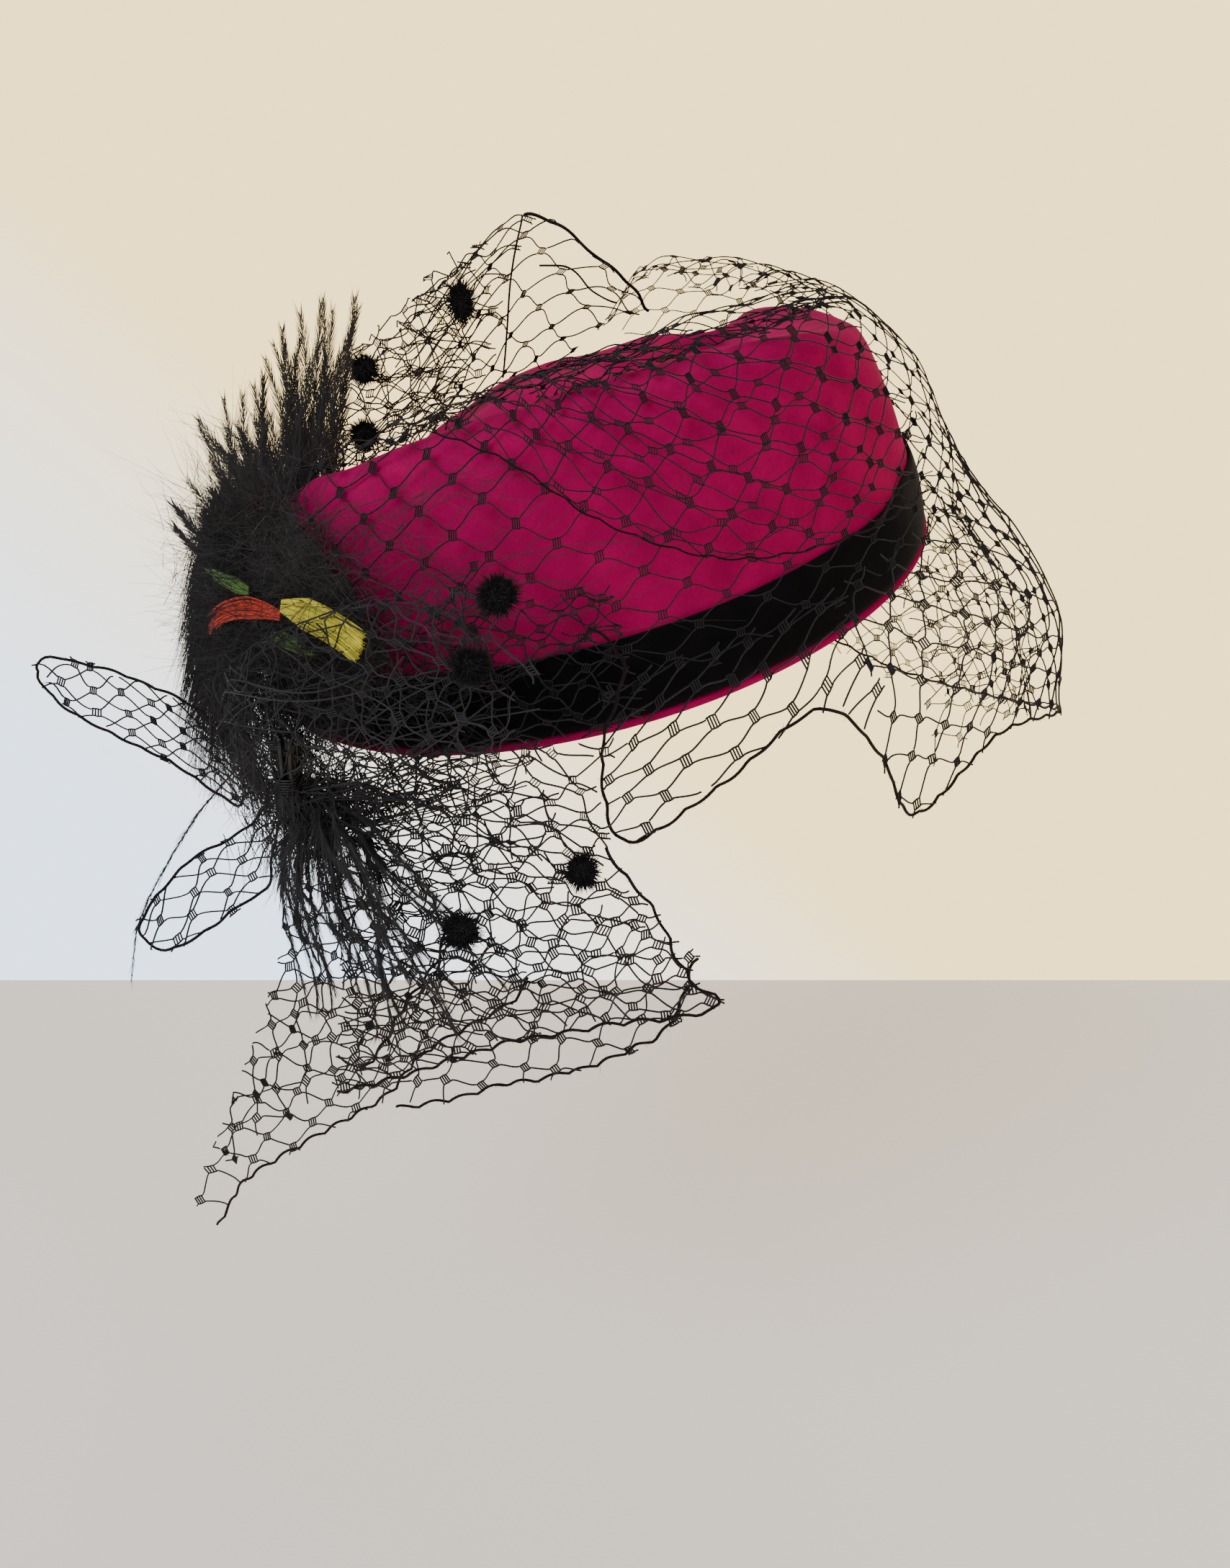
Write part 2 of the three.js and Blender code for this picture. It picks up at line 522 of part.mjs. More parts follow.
// Small coloured feathers, laid over the pad.
const VANES = {
  feather_yellow: { base: [-73.4, -82.6, 8.9], middle: [-62.7, -85.2, 6.9], tip: [-51.5, -96.4, 1.4], halfWidth: 4 },
  feather_red: { base: [-77.8, -79.3, 6], middle: [-90.8, -68, 9], tip: [-102, -52, -5], halfWidth: 3 },
  feather_green_upper: { base: [-83.3, -74.4, 11], middle: [-89.9, -68.6, 11.6], tip: [-102, -48, 12], halfWidth: 2.4 },
  feather_green_lower: { base: [-76.5, -80.2, 1], middle: [-71.3, -82, -0.8], tip: [-64.6, -90, -1.4], halfWidth: 2.4 },
};

const VANE_FACING = new THREE.Vector3(-0.5, -0.85, 0.1);

function padGeometry() {
  const columns = 14;
  const rows = 8;
  const face = (outer) => Array.from({ length: rows + 1 }, (_, i) => Array.from({ length: columns + 1 }, (__, j) => {
    const across = j / columns;
    const up = i / rows;
    const belly = Math.sqrt(Math.sin(Math.PI * lerp(0.06, 0.94, across)) * Math.sin(Math.PI * lerp(0.1, 0.9, up)));
    const off = PAD.inner + (outer ? (PAD.outer - PAD.inner) * belly : 0);
    return onHat(lerp(PAD.from, PAD.to, across), lerp(PAD.lowStep, PAD.highStep, up), off);
  }));
  return gridSolid(face(true), face(false));
}

function vaneGeometry({ base, middle, tip, halfWidth }, grow) {
  const spine = new THREE.QuadraticBezierCurve3(point(base), point(middle), point(tip));
  const surface = (u, v) => {
    const along = spine.getPoint(u);
    const side = spine.getTangent(clamp(u, 0, 1)).cross(VANE_FACING).normalize();
    const width = halfWidth * Math.sqrt(Math.sin(Math.PI * lerp(0.08, 0.93, u)));
    return along.addScaledVector(side, width * (2 * v - 1));
  };
  return sheet(surface, 9, 2, FEATHER.vane, grow);
}

function quillGeometry(grow) {
  const top = point(QUILL.top);
  const bottom = point(QUILL.bottom);
  const height = top.distanceTo(bottom);
  const wide = QUILL.radius + grow;
  const profile = [[0, -grow], [wide, -grow], [QUILL.neck + grow, height * 0.55], [wide, height + grow], [0, height + grow]];
  const geometry = new THREE.LatheGeometry(profile.map(([r, h]) => new THREE.Vector2(r, h)), 14);
  const upright = new THREE.Quaternion().setFromUnitVectors(
    new THREE.Vector3(0, 1, 0),
    top.clone().sub(bottom).normalize(),
  );
  return geometry.applyQuaternion(upright).translate(bottom.x, bottom.y, bottom.z);
}

function tieGeometry() {
  const from = point(TIE.from);
  const to = point(TIE.to);
  const geometry = new THREE.CapsuleGeometry(TIE.radius, from.distanceTo(to) - 2 * TIE.radius, 4, 14);
  const along = new THREE.Quaternion().setFromUnitVectors(new THREE.Vector3(0, 1, 0), to.clone().sub(from).normalize());
  const middle = from.lerp(to, 0.5);
  return geometry.applyQuaternion(along).translate(middle.x, middle.y, middle.z);
}

// ---- Chenille dots, each against the veiling it is tied to ----
const DOTS = [
  { at: [-38.6, 0.7, 80.4], width: 4.2, height: 6.2 },
  { at: [-66.5, -5.9, 62.2], width: 4.6, height: 4.6 },
  { at: [-66.9, -10.4, 44], width: 4.6, height: 4.6 },
  { at: [-20.2, -107.6, 16.1], width: 5, height: 4.8 },
  { at: [-26.7, -109.9, 0.5], width: 4.8, height: 4.6 },
  { at: [-1.9, -112.3, -49.2], width: 4.6, height: 4.8 },
  { at: [-30.7, -117.5, -62.4], width: 5, height: 5 },
];

function dotGeometry({ at, width, height }) {
  return new THREE.SphereGeometry(1, 10, 7).scale(width, width, height).translate(...at);
}

// ---- Assembly ----
const finish = (color, roughness) => new THREE.MeshStandardMaterial({ color, roughness, metalness: 0 });
const materials = {
  felt: finish(0xa81c68, 0.95),
  velvet: finish(0x0b0a0c, 0.9),
  veiling: finish(0x1d1b1d, 0.7),
  chenille: finish(0x121113, 1),
  feather: finish(0x222122, 0.85),
  yellow: finish(0xb8a52e, 0.7),
  red: finish(0xa8301f, 0.7),
  green: finish(0x5f7a2c, 0.7),
};

function mesh(name, geometry, material) {
  const solid = new THREE.Mesh(geometry, material);
  solid.name = name;
  return solid;
}

const toque = new THREE.Group();
const hat = new THREE.Group();
hat.setRotationFromMatrix(hatMatrix);
toque.add(hat);
hat.add(mesh('crown', crownGeometry(0, FELT), materials.felt));
hat.add(mesh('velvet_band', bandGeometry(BAND.gap, BAND.gap + BAND.thickness), materials.velvet));

for (const [name, veil] of Object.entries(veils)) toque.add(mesh(name, veil.solid(0), materials.veiling));

const grownVeils = (...names) => names.map((name) => veils[name].solid(CLEARANCE));
const grownRoots = (...names) => names.map((name) => veils[name].solid(ROOT_CLEARANCE));
const gather = (grow) => sheet(gatherSurface, 14, 5, GATHER_THICKNESS, grow);
const plume = (folds, thickness) => (grow) => sheet(hanging(folds), 11, 6, thickness, grow);
const plumeUp = plume(PLUME_UP_FOLDS, FEATHER.plume);
const fringe = plume(FRINGE_FOLDS, FEATHER.fringe);
const plumeDown = plume(PLUME_DOWN_FOLDS, FEATHER.plume);
const grownVanes = Object.values(VANES).map((vane) => vaneGeometry(vane, CLEARANCE));
const grownCrown = crownGeometry(CLEARANCE, FELT).applyMatrix4(hatMatrix);
const grownBand = bandGeometry(0, BAND.gap + BAND.thickness + CLEARANCE).applyMatrix4(hatMatrix);

const pressed = {
  veil_gather: [gather(0), [quillGeometry(CLEARANCE), plumeDown(CLEARANCE), ...grownVanes,
    ...grownVeils('veil_wing_front', 'veil_loop_low', 'veil_face')], materials.veiling],
  veil_tie: [tieGeometry(), [gather(CLEARANCE), quillGeometry(CLEARANCE), grownBand, grownCrown,
    ...grownRoots('veil_wing_front', 'veil_wing_back', 'veil_tail', 'veil_loop_high', 'veil_loop_low')],
    materials.veiling],
  feather_pad: [padGeometry(0), [gather(CLEARANCE), plumeUp(CLEARANCE), fringe(CLEARANCE), ...grownVanes,
    ...grownVeils('veil_face')], materials.feather],
  plume_up: [plumeUp(0), [grownCrown, ...grownVeils('veil_face', 'veil_puff'), ...grownVanes], materials.feather],
  plume_down: [plumeDown(0), [quillGeometry(CLEARANCE), ...grownVeils('veil_wing_front')], materials.feather],
  feather_fringe: [fringe(0), [grownCrown, grownBand, plumeUp(CLEARANCE), ...grownVeils('veil_face'), ...grownVanes],
    materials.feather],
};
for (const [name, [geometry, neighbours, material]] of Object.entries(pressed)) {
  toque.add(mesh(name, pressedRound(geometry, neighbours), material));
}
toque.add(mesh('quill_bundle', quillGeometry(0), materials.feather));

const vaneFinish = {
  feather_yellow: materials.yellow,
  feather_red: materials.red,
  feather_green_upper: materials.green,
  feather_green_lower: materials.green,
};
for (const [name, vane] of Object.entries(VANES)) toque.add(mesh(name, vaneGeometry(vane, 0), vaneFinish[name]));

DOTS.forEach((dot, i) => toque.add(mesh(`chenille_dot_${i + 1}`, dotGeometry(dot), materials.chenille)));

export default toque;
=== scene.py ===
"""Felt toque with a velvet band, diamond veiling, chenille dots and a feather spray, in the form it has
when worn.

Laid out as an add-on and run as a script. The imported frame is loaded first, then each operator builds one
piece or one group of like pieces on it. Tables are in millimetres in the frame's upright axes: the origin is
the centre of the head opening, +Z is up, -Y is the wearer's front and +X the wearer's left.
"""

import math

import bpy
import mathutils
import numpy as np
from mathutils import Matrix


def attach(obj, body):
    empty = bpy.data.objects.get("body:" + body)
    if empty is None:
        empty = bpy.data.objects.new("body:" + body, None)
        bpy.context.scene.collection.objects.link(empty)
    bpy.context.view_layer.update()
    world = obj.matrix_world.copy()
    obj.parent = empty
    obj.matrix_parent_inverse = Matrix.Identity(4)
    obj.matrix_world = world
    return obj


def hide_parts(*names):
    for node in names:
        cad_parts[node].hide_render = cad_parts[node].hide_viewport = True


bl_info = {
    "name": "Veiled Toque",
    "version": (1, 0, 0),
    "blender": (4, 5, 0),
    "location": "3D View > Sidebar > Toque",
    "description": "Builds a felt toque with velvet band, veiling, dots and feathers on its CAD frame",
    "category": "Object",
}

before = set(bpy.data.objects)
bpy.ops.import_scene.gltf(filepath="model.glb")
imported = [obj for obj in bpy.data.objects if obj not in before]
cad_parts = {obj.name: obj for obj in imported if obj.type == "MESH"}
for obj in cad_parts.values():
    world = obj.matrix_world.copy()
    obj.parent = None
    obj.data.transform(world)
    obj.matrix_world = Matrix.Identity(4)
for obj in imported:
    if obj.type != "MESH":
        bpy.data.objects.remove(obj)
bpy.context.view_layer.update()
MM = 0.001
BODY = "root"


# ---- Colours and materials ----
def linear(code):
    """An sRGB hex colour as linear red, green, blue and alpha."""
    parts = [int(code[i : i + 2], 16) / 255 for i in (1, 3, 5)]
    return tuple(c / 12.92 if c <= 0.04045 else ((c + 0.055) / 1.055) ** 2.4 for c in parts) + (1.0,)


def shade(colour, by):
    """A linear colour made darker or lighter by that factor, with alpha."""
    return tuple(min(c * by, 1.0) for c in colour[:3]) + (1.0,)


def add_node(tree, kind, settings=None, inputs=None, links=None):
    """Adds a node: settings are its attributes, inputs its socket values, links its sockets' sources."""
    node = tree.nodes.new(kind)
    for key, value in (settings or {}).items():
        setattr(node, key, value)
    for key, value in (inputs or {}).items():
        node.inputs[key].default_value = value
    for key, source in (links or {}).items():
        tree.links.new(source, node.inputs[key])
    return node


def new_material(name, shader_values):
    """An empty material with its Principled shader, ready for its pattern nodes."""
    material = bpy.data.materials.new(name)
    material.use_nodes = True
    tree = material.node_tree
    tree.nodes.clear()
    shader = add_node(tree, "ShaderNodeBsdfPrincipled", inputs=shader_values)
    add_node(tree, "ShaderNodeOutputMaterial", links={"Surface": shader.outputs["BSDF"]})
    where = add_node(tree, "ShaderNodeTexCoord")
    return material, tree, shader, where.outputs["Object"]


def two_tone(tree, factor, dark, light, low=0.35, high=0.65):
    """Colour ramp from dark to light."""
    ramp = add_node(tree, "ShaderNodeValToRGB", links={"Fac": factor})
    ramp.color_ramp.elements[0].position = low
    ramp.color_ramp.elements[0].color = dark
    ramp.color_ramp.elements[1].position = high
    ramp.color_ramp.elements[1].color = light
    return ramp.outputs["Color"]


def noise(tree, where, size_mm, detail=2.0, roughness=0.5):
    """Noise whose blotches are about size_mm across."""
    values = {"Scale": 1 / (size_mm * MM), "Detail": detail, "Roughness": roughness}
    return add_node(tree, "ShaderNodeTexNoise", inputs=values, links={"Vector": where}).outputs["Fac"]


def bump(tree, shader, height, depth_mm, strength=1.0):
    """Surface relief of that depth."""
    values = {"Strength": strength, "Distance": depth_mm * MM}
    node = add_node(tree, "ShaderNodeBump", inputs=values, links={"Height": height})
    tree.links.new(node.outputs["Normal"], shader.inputs["Normal"])


def wool_felt(colour):
    # Wool felt, blocked and brushed: matt, with a short nap that catches light at the edges, and a faint
    # mottle.
    name = "wool felt, blocked"
    if name in bpy.data.materials:
        return bpy.data.materials[name]
    surface = {
        "Roughness": 0.95,
        "Specular IOR Level": 0.06,
        "Sheen Weight": 0.05,
        "Sheen Roughness": 0.5,
        "Sheen Tint": linear("#E0408C"),
    }
    material, tree, shader, where = new_material(name, surface)
    fibres = noise(tree, where, 0.9, detail=3.0, roughness=0.7)
    clouds = noise(tree, where, 9.0, detail=2.0)
    mix = add_node(tree, "ShaderNodeMath", {"operation": "MULTIPLY_ADD"}, {1: 0.6}, {0: fibres, 2: clouds})
    mottle = two_tone(tree, mix.outputs["Value"], shade(colour, 0.86), shade(colour, 1.12), 0.6, 1.0)
    tree.links.new(mottle, shader.inputs["Base Color"])
    bump(tree, shader, fibres, 0.22, 0.55)
    return material


def silk_velvet(colour):
    # Silk velvet ribbon, woven with a cut pile: almost black face on, with a dull sheen where the pile
    # turns away. That sheen is painted: noise lightens the base colour in blotches.
    name = "silk velvet ribbon, cut pile"
    if name in bpy.data.materials:
        return bpy.data.materials[name]
    surface = {
        "Roughness": 0.9,
        "Specular IOR Level": 0.12,
        "Sheen Weight": 0.12,
        "Sheen Roughness": 0.35,
        "Sheen Tint": linear("#8A8694"),
    }
    material, tree, shader, where = new_material(name, surface)
    pile = noise(tree, where, 0.7, detail=2.0)
    drift = noise(tree, where, 7.0, detail=1.5)
    # Painted sheen: lighter blotches in the base colour stand for the pile turning away.
    painted_sheen = two_tone(tree, drift, colour, shade(colour, 2.4), 0.45, 0.8)
    tree.links.new(painted_sheen, shader.inputs["Base Color"])
    bump(tree, shader, pile, 0.15, 0.6)
    return material


def thread_material(name, dark, light, sheen, twist_mm=1.1, gloss=0.12):
    # Spun thread or cut pile, matt: the fine twist breaks the light along it, so it is grey over black cloth
    # and still black against a pale wall. That broken light is painted: noise runs the base colour from dark
    # to light along the thread, as painted shade and highlight, and a bump gives the twist's relief. A
    # thread's twist is drawn as coarse as it needs to be to show.
    if name in bpy.data.materials:
        return bpy.data.materials[name]
    surface = {
        "Roughness": 0.6,
        "Specular IOR Level": gloss,
        "Sheen Weight": sheen,
        "Sheen Roughness": 0.4,
        "Sheen Tint": linear("#B8B2B6"),
    }
    material, tree, shader, where = new_material(name, surface)
    twist = noise(tree, where, twist_mm, detail=1.0)
    # Painted shade and highlight along the thread, from the twist noise.
    tree.links.new(two_tone(tree, twist, dark, light, 0.4, 0.7), shader.inputs["Base Color"])
    bump(tree, shader, twist, 0.05, 0.5)
    return material


def feather_material(name, dark, light, sheen=0.25, size_mm=6.0, roughness=0.6):
    # Dyed feather barbs or quills: keratin with a dull sheen. Noise darkens the base colour in patches,
    # painted shade that stands for where the barbs bunch.
    if name in bpy.data.materials:
        return bpy.data.materials[name]
    surface = {
        "Roughness": roughness,
        "Specular IOR Level": 0.35,
        "Sheen Weight": sheen,
        "Sheen Roughness": 0.5,
        "Sheen Tint": linear("#C8C0B8"),
    }
    material, tree, shader, where = new_material(name, surface)
    painted_bunch_shade = noise(tree, where, size_mm, detail=3.0)
    # Painted shade: noise lays darker patches in the base colour, for the barbs' bunching.
    tree.links.new(two_tone(tree, painted_bunch_shade, dark, light, 0.35, 0.7), shader.inputs["Base Color"])
    return material


# ---- Meshes from arrays ----
def mesh_object(name, points_mm, faces, material):
    """A piece from points in millimetres and faces of three or four corners, riding on the frame's body."""
    points = np.asarray(points_mm, np.float32) * MM
    blocks = [np.asarray(f, np.int32) for f in faces if len(f)]
    mesh = bpy.data.meshes.new(name)
    mesh.vertices.add(len(points))
    mesh.vertices.foreach_set("co", points.ravel())
    corners = np.concatenate([b.ravel() for b in blocks])
    sizes = np.concatenate([np.full(len(b), b.shape[1], np.int32) for b in blocks])
    mesh.loops.add(len(corners))
    mesh.loops.foreach_set("vertex_index", corners)
    mesh.polygons.add(len(sizes))
    starts = np.concatenate([[0], np.cumsum(sizes)[:-1]]).astype(np.int32)
    mesh.polygons.foreach_set("loop_start", starts)
    mesh.polygons.foreach_set("loop_total", sizes)
    mesh.polygons.foreach_set("use_smooth", np.full(len(sizes), True))
    mesh.update(calc_edges=True)
    mesh.validate()
    mesh.materials.append(material)
    piece = bpy.data.objects.new(name, mesh)
    bpy.context.scene.collection.objects.link(piece)
    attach(piece, BODY)
    return piece


class Strands:
    """Collects tubes and ribbons, then makes one mesh of them."""

    def __init__(self):
        self.points, self.quads, self.tris, self.count = [], [], [], 0

    def tubes(self, paths, facing, radius, sides=3, closed_ends=False):
        """Round threads along paths of shape (strands, points, 3). facing has the same shape, or is one
        vector that fixes where the sides lie, and radius is a number or has one value for each point."""
        paths = np.asarray(paths, float)
        if len(paths) == 0:
            return
        strands, n, _ = paths.shape
        heading = unit(np.gradient(paths, axis=1))
        side = unit(np.cross(heading, np.broadcast_to(facing, paths.shape)))
        up = np.cross(side, heading)
        radius = np.broadcast_to(radius, (strands, n))
        turns = np.arange(sides) * 2 * math.pi / sides
        ring = np.cos(turns)[:, None] * side[:, :, None] + np.sin(turns)[:, None] * up[:, :, None]
        points = paths[:, :, None] + ring * radius[:, :, None, None]
        at = self.count + np.arange(strands * n * sides).reshape(strands, n, sides)
        a, b = at[:, :-1], at[:, 1:]
        quads = np.stack([a, np.roll(a, -1, 2), np.roll(b, -1, 2), b], -1).reshape(-1, 4)
        self.quads.append(quads)
        if closed_ends:
            for ring_at, flip in ((at[:, 0], True), (at[:, -1], False)):
                for k in range(1, sides - 1):
                    trio = [ring_at[:, 0], ring_at[:, k], ring_at[:, k + 1]]
                    self.tris.append(np.stack(trio[::-1] if flip else trio, -1))
        self.points.append(points.reshape(-1, 3))
        self.count += strands * n * sides

    def ribbons(self, paths, facing, half_width):
        """Flat strips, for barbs and hairs. half_width is a number or tapers along the points."""
        paths = np.asarray(paths, float)
        if len(paths) == 0:
            return
        strands, n, _ = paths.shape
        heading = unit(np.gradient(paths, axis=1))
        side = unit(np.cross(heading, np.broadcast_to(facing, paths.shape)))
        reach = np.broadcast_to(half_width, (strands, n))[..., None] * side
        points = np.stack([paths - reach, paths + reach], 2)
        at = self.count + np.arange(strands * n * 2).reshape(strands, n, 2)
        quads = np.stack([at[:, :-1, 0], at[:, :-1, 1], at[:, 1:, 1], at[:, 1:, 0]], -1).reshape(-1, 4)
        self.quads.append(quads)
        self.points.append(points.reshape(-1, 3))
        self.count += strands * n * 2

    def grid(self, points, ring=False, tube=False):
        """Surface from (rows, columns, 3) points. ring joins the last column to the first, and tube the
        last row."""
        points = np.asarray(points, float)
        rows, columns, _ = points.shape
        at = self.count + np.arange(rows * columns).reshape(rows, columns)
        at = np.concatenate([at, at[:, :1]], 1) if ring else at
        at = np.concatenate([at, at[:1]], 0) if tube else at
        self.quads.append(np.stack([at[:-1, :-1], at[:-1, 1:], at[1:, 1:], at[1:, :-1]], -1).reshape(-1, 4))
        self.points.append(points.reshape(-1, 3))
        self.count += rows * columns

    def piece(self, name, material):
        return mesh_object(name, np.concatenate(self.points), self.quads + self.tris, material)


def unit(vectors):
    """Vectors brought to length 1."""
    return vectors / np.maximum(np.linalg.norm(vectors, axis=-1, keepdims=True), 1e-9)


class Drift:
    """Smooth random numbers over a plane or along a line, about -1 to 1, with waves about size long."""

    def __init__(self, seed, size, waves=7):
        rng = np.random.default_rng(seed)
        angle = rng.uniform(0, 2 * math.pi, waves)
        pace = 2 * math.pi / (size * rng.uniform(0.6, 1.7, waves))
        self.x, self.y = np.cos(angle) * pace, np.sin(angle) * pace
        self.phase = rng.uniform(0, 2 * math.pi, waves)

    def __call__(self, x, y=0.0):
        x, y = np.broadcast_arrays(np.asarray(x, float), np.asarray(y, float))
        waves = np.sin(x[..., None] * self.x + y[..., None] * self.y + self.phase)
        return waves.mean(-1) * 1.7


# ---- The crown, level, and its place when worn ----
RIM = (101.0, 87.0)  # half width and half depth of the head opening
FELT = 2.0
BAND = {"height": 20.0, "thickness": 1.6, "gap": 0.45}
WEAR = {"side": -15.5, "front": 12.0, "turn": 9.0}  # degrees that the hat is tipped and turned when worn
# turn: direction round the opening, -90 at the front; reach and rise of the ridge.
RIDGE = np.array(
    [
        (-180, 0.735, 56), (-150, 0.775, 66), (-135, 0.775, 69), (-120, 0.67, 71), (-90, 0.58, 71.5),
        (-60, 0.65, 71), (-45, 0.785, 69), (-30, 0.84, 64), (-10, 0.84, 59), (15, 0.81, 58),
        (35, 0.775, 57), (50, 0.715, 55), (65, 0.59, 54), (90, 0.49, 56), (115, 0.49, 50),
        (135, 0.53, 45), (155, 0.63, 47),
    ]
)
# step up the wall, lean inwards, rise.
WALL = np.array(
    [(0, 0, 0), (0.25, 0.13, 0), (0.5, 0.31, 0.36), (0.75, 0.56, 0.72), (0.9, 0.78, 0.925), (1, 1, 1)]
)
# The dent pinched along the top, its depth and half width, and the height of the felt beside it.
PINCH = {"line": [(-52, -17), (-20, -10), (20, -3), (44, 12), (56, 40)], "depth": 26, "half": 14, "top": 58}
TOP_LINE = ((-52, -16), (34, 0))
# The shallow dent down the wall that sets the lobe off, by turn at the ridge and at the rim.
HOLLOW = {"ridge": -47, "rim": -23, "half": 9, "depth": 2.2}


def eased(xs, ys, x):
    """Smooth curve through a table, with slopes from the neighbouring rows."""
    xs, ys, x = np.asarray(xs, float), np.asarray(ys, float), np.asarray(x, float)
    last = len(xs) - 1
    before, after = np.maximum(np.arange(last + 1) - 1, 0), np.minimum(np.arange(last + 1) + 1, last)
    slope = (ys[after] - ys[before]) / (xs[after] - xs[before])
    i = np.clip(np.searchsorted(xs, x, side="right") - 1, 0, last - 1)
    h = xs[i + 1] - xs[i]
    u = (x - xs[i]) / h
    return (
        (2 * u**3 - 3 * u**2 + 1) * ys[i]
        + (u**3 - 2 * u**2 + u) * h * slope[i]
        + (3 * u**2 - 2 * u**3) * ys[i + 1]
        + (u**3 - u**2) * h * slope[i + 1]
    )


def ridge(turn, column):
    """The ridge table's reach (1) or rise (2) at that turn."""
    around = (np.asarray(turn, float) + 180) % 360 - 180
    rows = np.concatenate([RIDGE[-2:] - (360, 0, 0), RIDGE, RIDGE[:2] + (360, 0, 0)])
    return eased(rows[:, 0], rows[:, column], around)


def crown_point(turn, step):
    """Outside of the felt on the level hat. step is 0 at the opening, 0.25 at the band's top, 1 on the ridge
    and 2 in the middle."""
    turn, step = np.broadcast_arrays(np.asarray(turn, float), np.asarray(step, float))
    t = np.radians(turn)
    wall, top = np.clip(step, 0, 1), np.clip(step - 1, 0, 1)
    share = 1 - (1 - ridge(turn, 1)) * eased(WALL[:, 0], WALL[:, 1], wall)
    x, y = RIM[0] * share * np.cos(t), RIM[1] * share * np.sin(t)
    rise = eased(WALL[:, 0], WALL[:, 2], wall)
    high = BAND["height"]
    z = np.where(wall < 0.25, high * wall / 0.25, high + (ridge(turn, 2) - high) * rise)
    across = 0.5 + 0.5 * np.cos(t)
    (x0, y0), (x1, y1) = TOP_LINE
    x = x + (x0 + (x1 - x0) * across - x) * top
    y = y + (y0 + (y1 - y0) * across - y) * top
    z = z + (PINCH["top"] - z) * top * top * (3 - 2 * top)
    nearest, along, length = np.full(x.shape, np.inf), np.zeros(x.shape), 0.0
    for (ax, ay), (bx, by) in zip(PINCH["line"], PINCH["line"][1:]):
        span = math.hypot(bx - ax, by - ay)
        u = np.clip(((x - ax) * (bx - ax) + (y - ay) * (by - ay)) / span**2, 0, 1)
        d = np.hypot(x - ax - u * (bx - ax), y - ay - u * (by - ay))
        along = np.where(d < nearest, length + u * span, along)
        nearest = np.minimum(nearest, d)
        length += span
    along = along / length
    depth = PINCH["depth"] - 10 * np.clip((along - 0.75) / 0.25, 0, 1)
    half = PINCH["half"] - 5 * np.clip((along - 0.7) / 0.3, 0, 1)
    z = z - depth * np.exp(-((nearest / half) ** 2)) * np.clip((step - 0.55) / 0.45, 0, 1) ** 2
    line = HOLLOW["rim"] + (HOLLOW["ridge"] - HOLLOW["rim"]) * wall
    swell = np.sin(np.pi * np.clip(step, 0, 1.15) / 1.15)
    dent = HOLLOW["depth"] * np.exp(-(((turn - line) / HOLLOW["half"]) ** 2)) * swell * (step < 1.15)
    return np.stack([x - dent * np.cos(t), y - dent * np.sin(t), z], -1)


def crown_normal(turn, step):
    """The way out of the felt, measured over a small patch of it."""
    step = np.minimum(step, 1.84)
    along = crown_point(turn + 1.5, step) - crown_point(turn - 1.5, step)
    up = crown_point(turn, step + 0.02) - crown_point(turn, step - 0.02)
    return unit(np.cross(along, up))


def rotation(axis, degrees):
    """A turn about one axis, as a matrix."""
    c, s = math.cos(math.radians(degrees)), math.sin(math.radians(degrees))
    rows = {
        "x": [(1, 0, 0), (0, c, -s), (0, s, c)],
        "y": [(c, 0, s), (0, 1, 0), (-s, 0, c)],
        "z": [(c, -s, 0), (s, c, 0), (0, 0, 1)],
    }
    return np.array(rows[axis])


WORN = rotation("z", WEAR["turn"]) @ rotation("y", WEAR["side"]) @ rotation("x", WEAR["front"])


def worn(points):
    """Points of the level hat as it is worn."""
    return np.asarray(points, float) @ WORN.T


def on_hat(turn, step, off):
    """A point that stands off the felt in the upright frame: out from the wall, and up from the top."""
    turn, step, off = np.broadcast_arrays(*(np.asarray(v, float) for v in (turn, step, off)))
    t = np.radians(turn)
    slope = np.radians(18 + 70 * np.clip((step - 0.45) / 0.75, 0, 1))
    away = np.stack([np.cos(t) * np.cos(slope), np.sin(t) * np.cos(slope), np.sin(slope)], -1)
    return worn(crown_point(turn, step) + away * off[..., None])


# ---- Draped sheets ----
COLUMNS, ROWS = 121, 81  # points at which a drape is measured, round it and down its fall
RUNGS = 160  # lengths down the fall for which the drape's own v is kept


def spline_weights(t, spans):
    """The first of the four points that a place on a curve hangs on, and their weights."""
    x = np.asarray(t, float) * spans
    i = np.clip(np.floor(x).astype(int), 0, spans - 1)
    f = np.clip(x - i, -0.25, 1.25)
    weights = (-f + 2 * f**2 - f**3, 2 - 5 * f**2 + 3 * f**3, f + 4 * f**2 - 3 * f**3, -(f**2) + f**3)
    return i, [0.5 * w for w in weights]


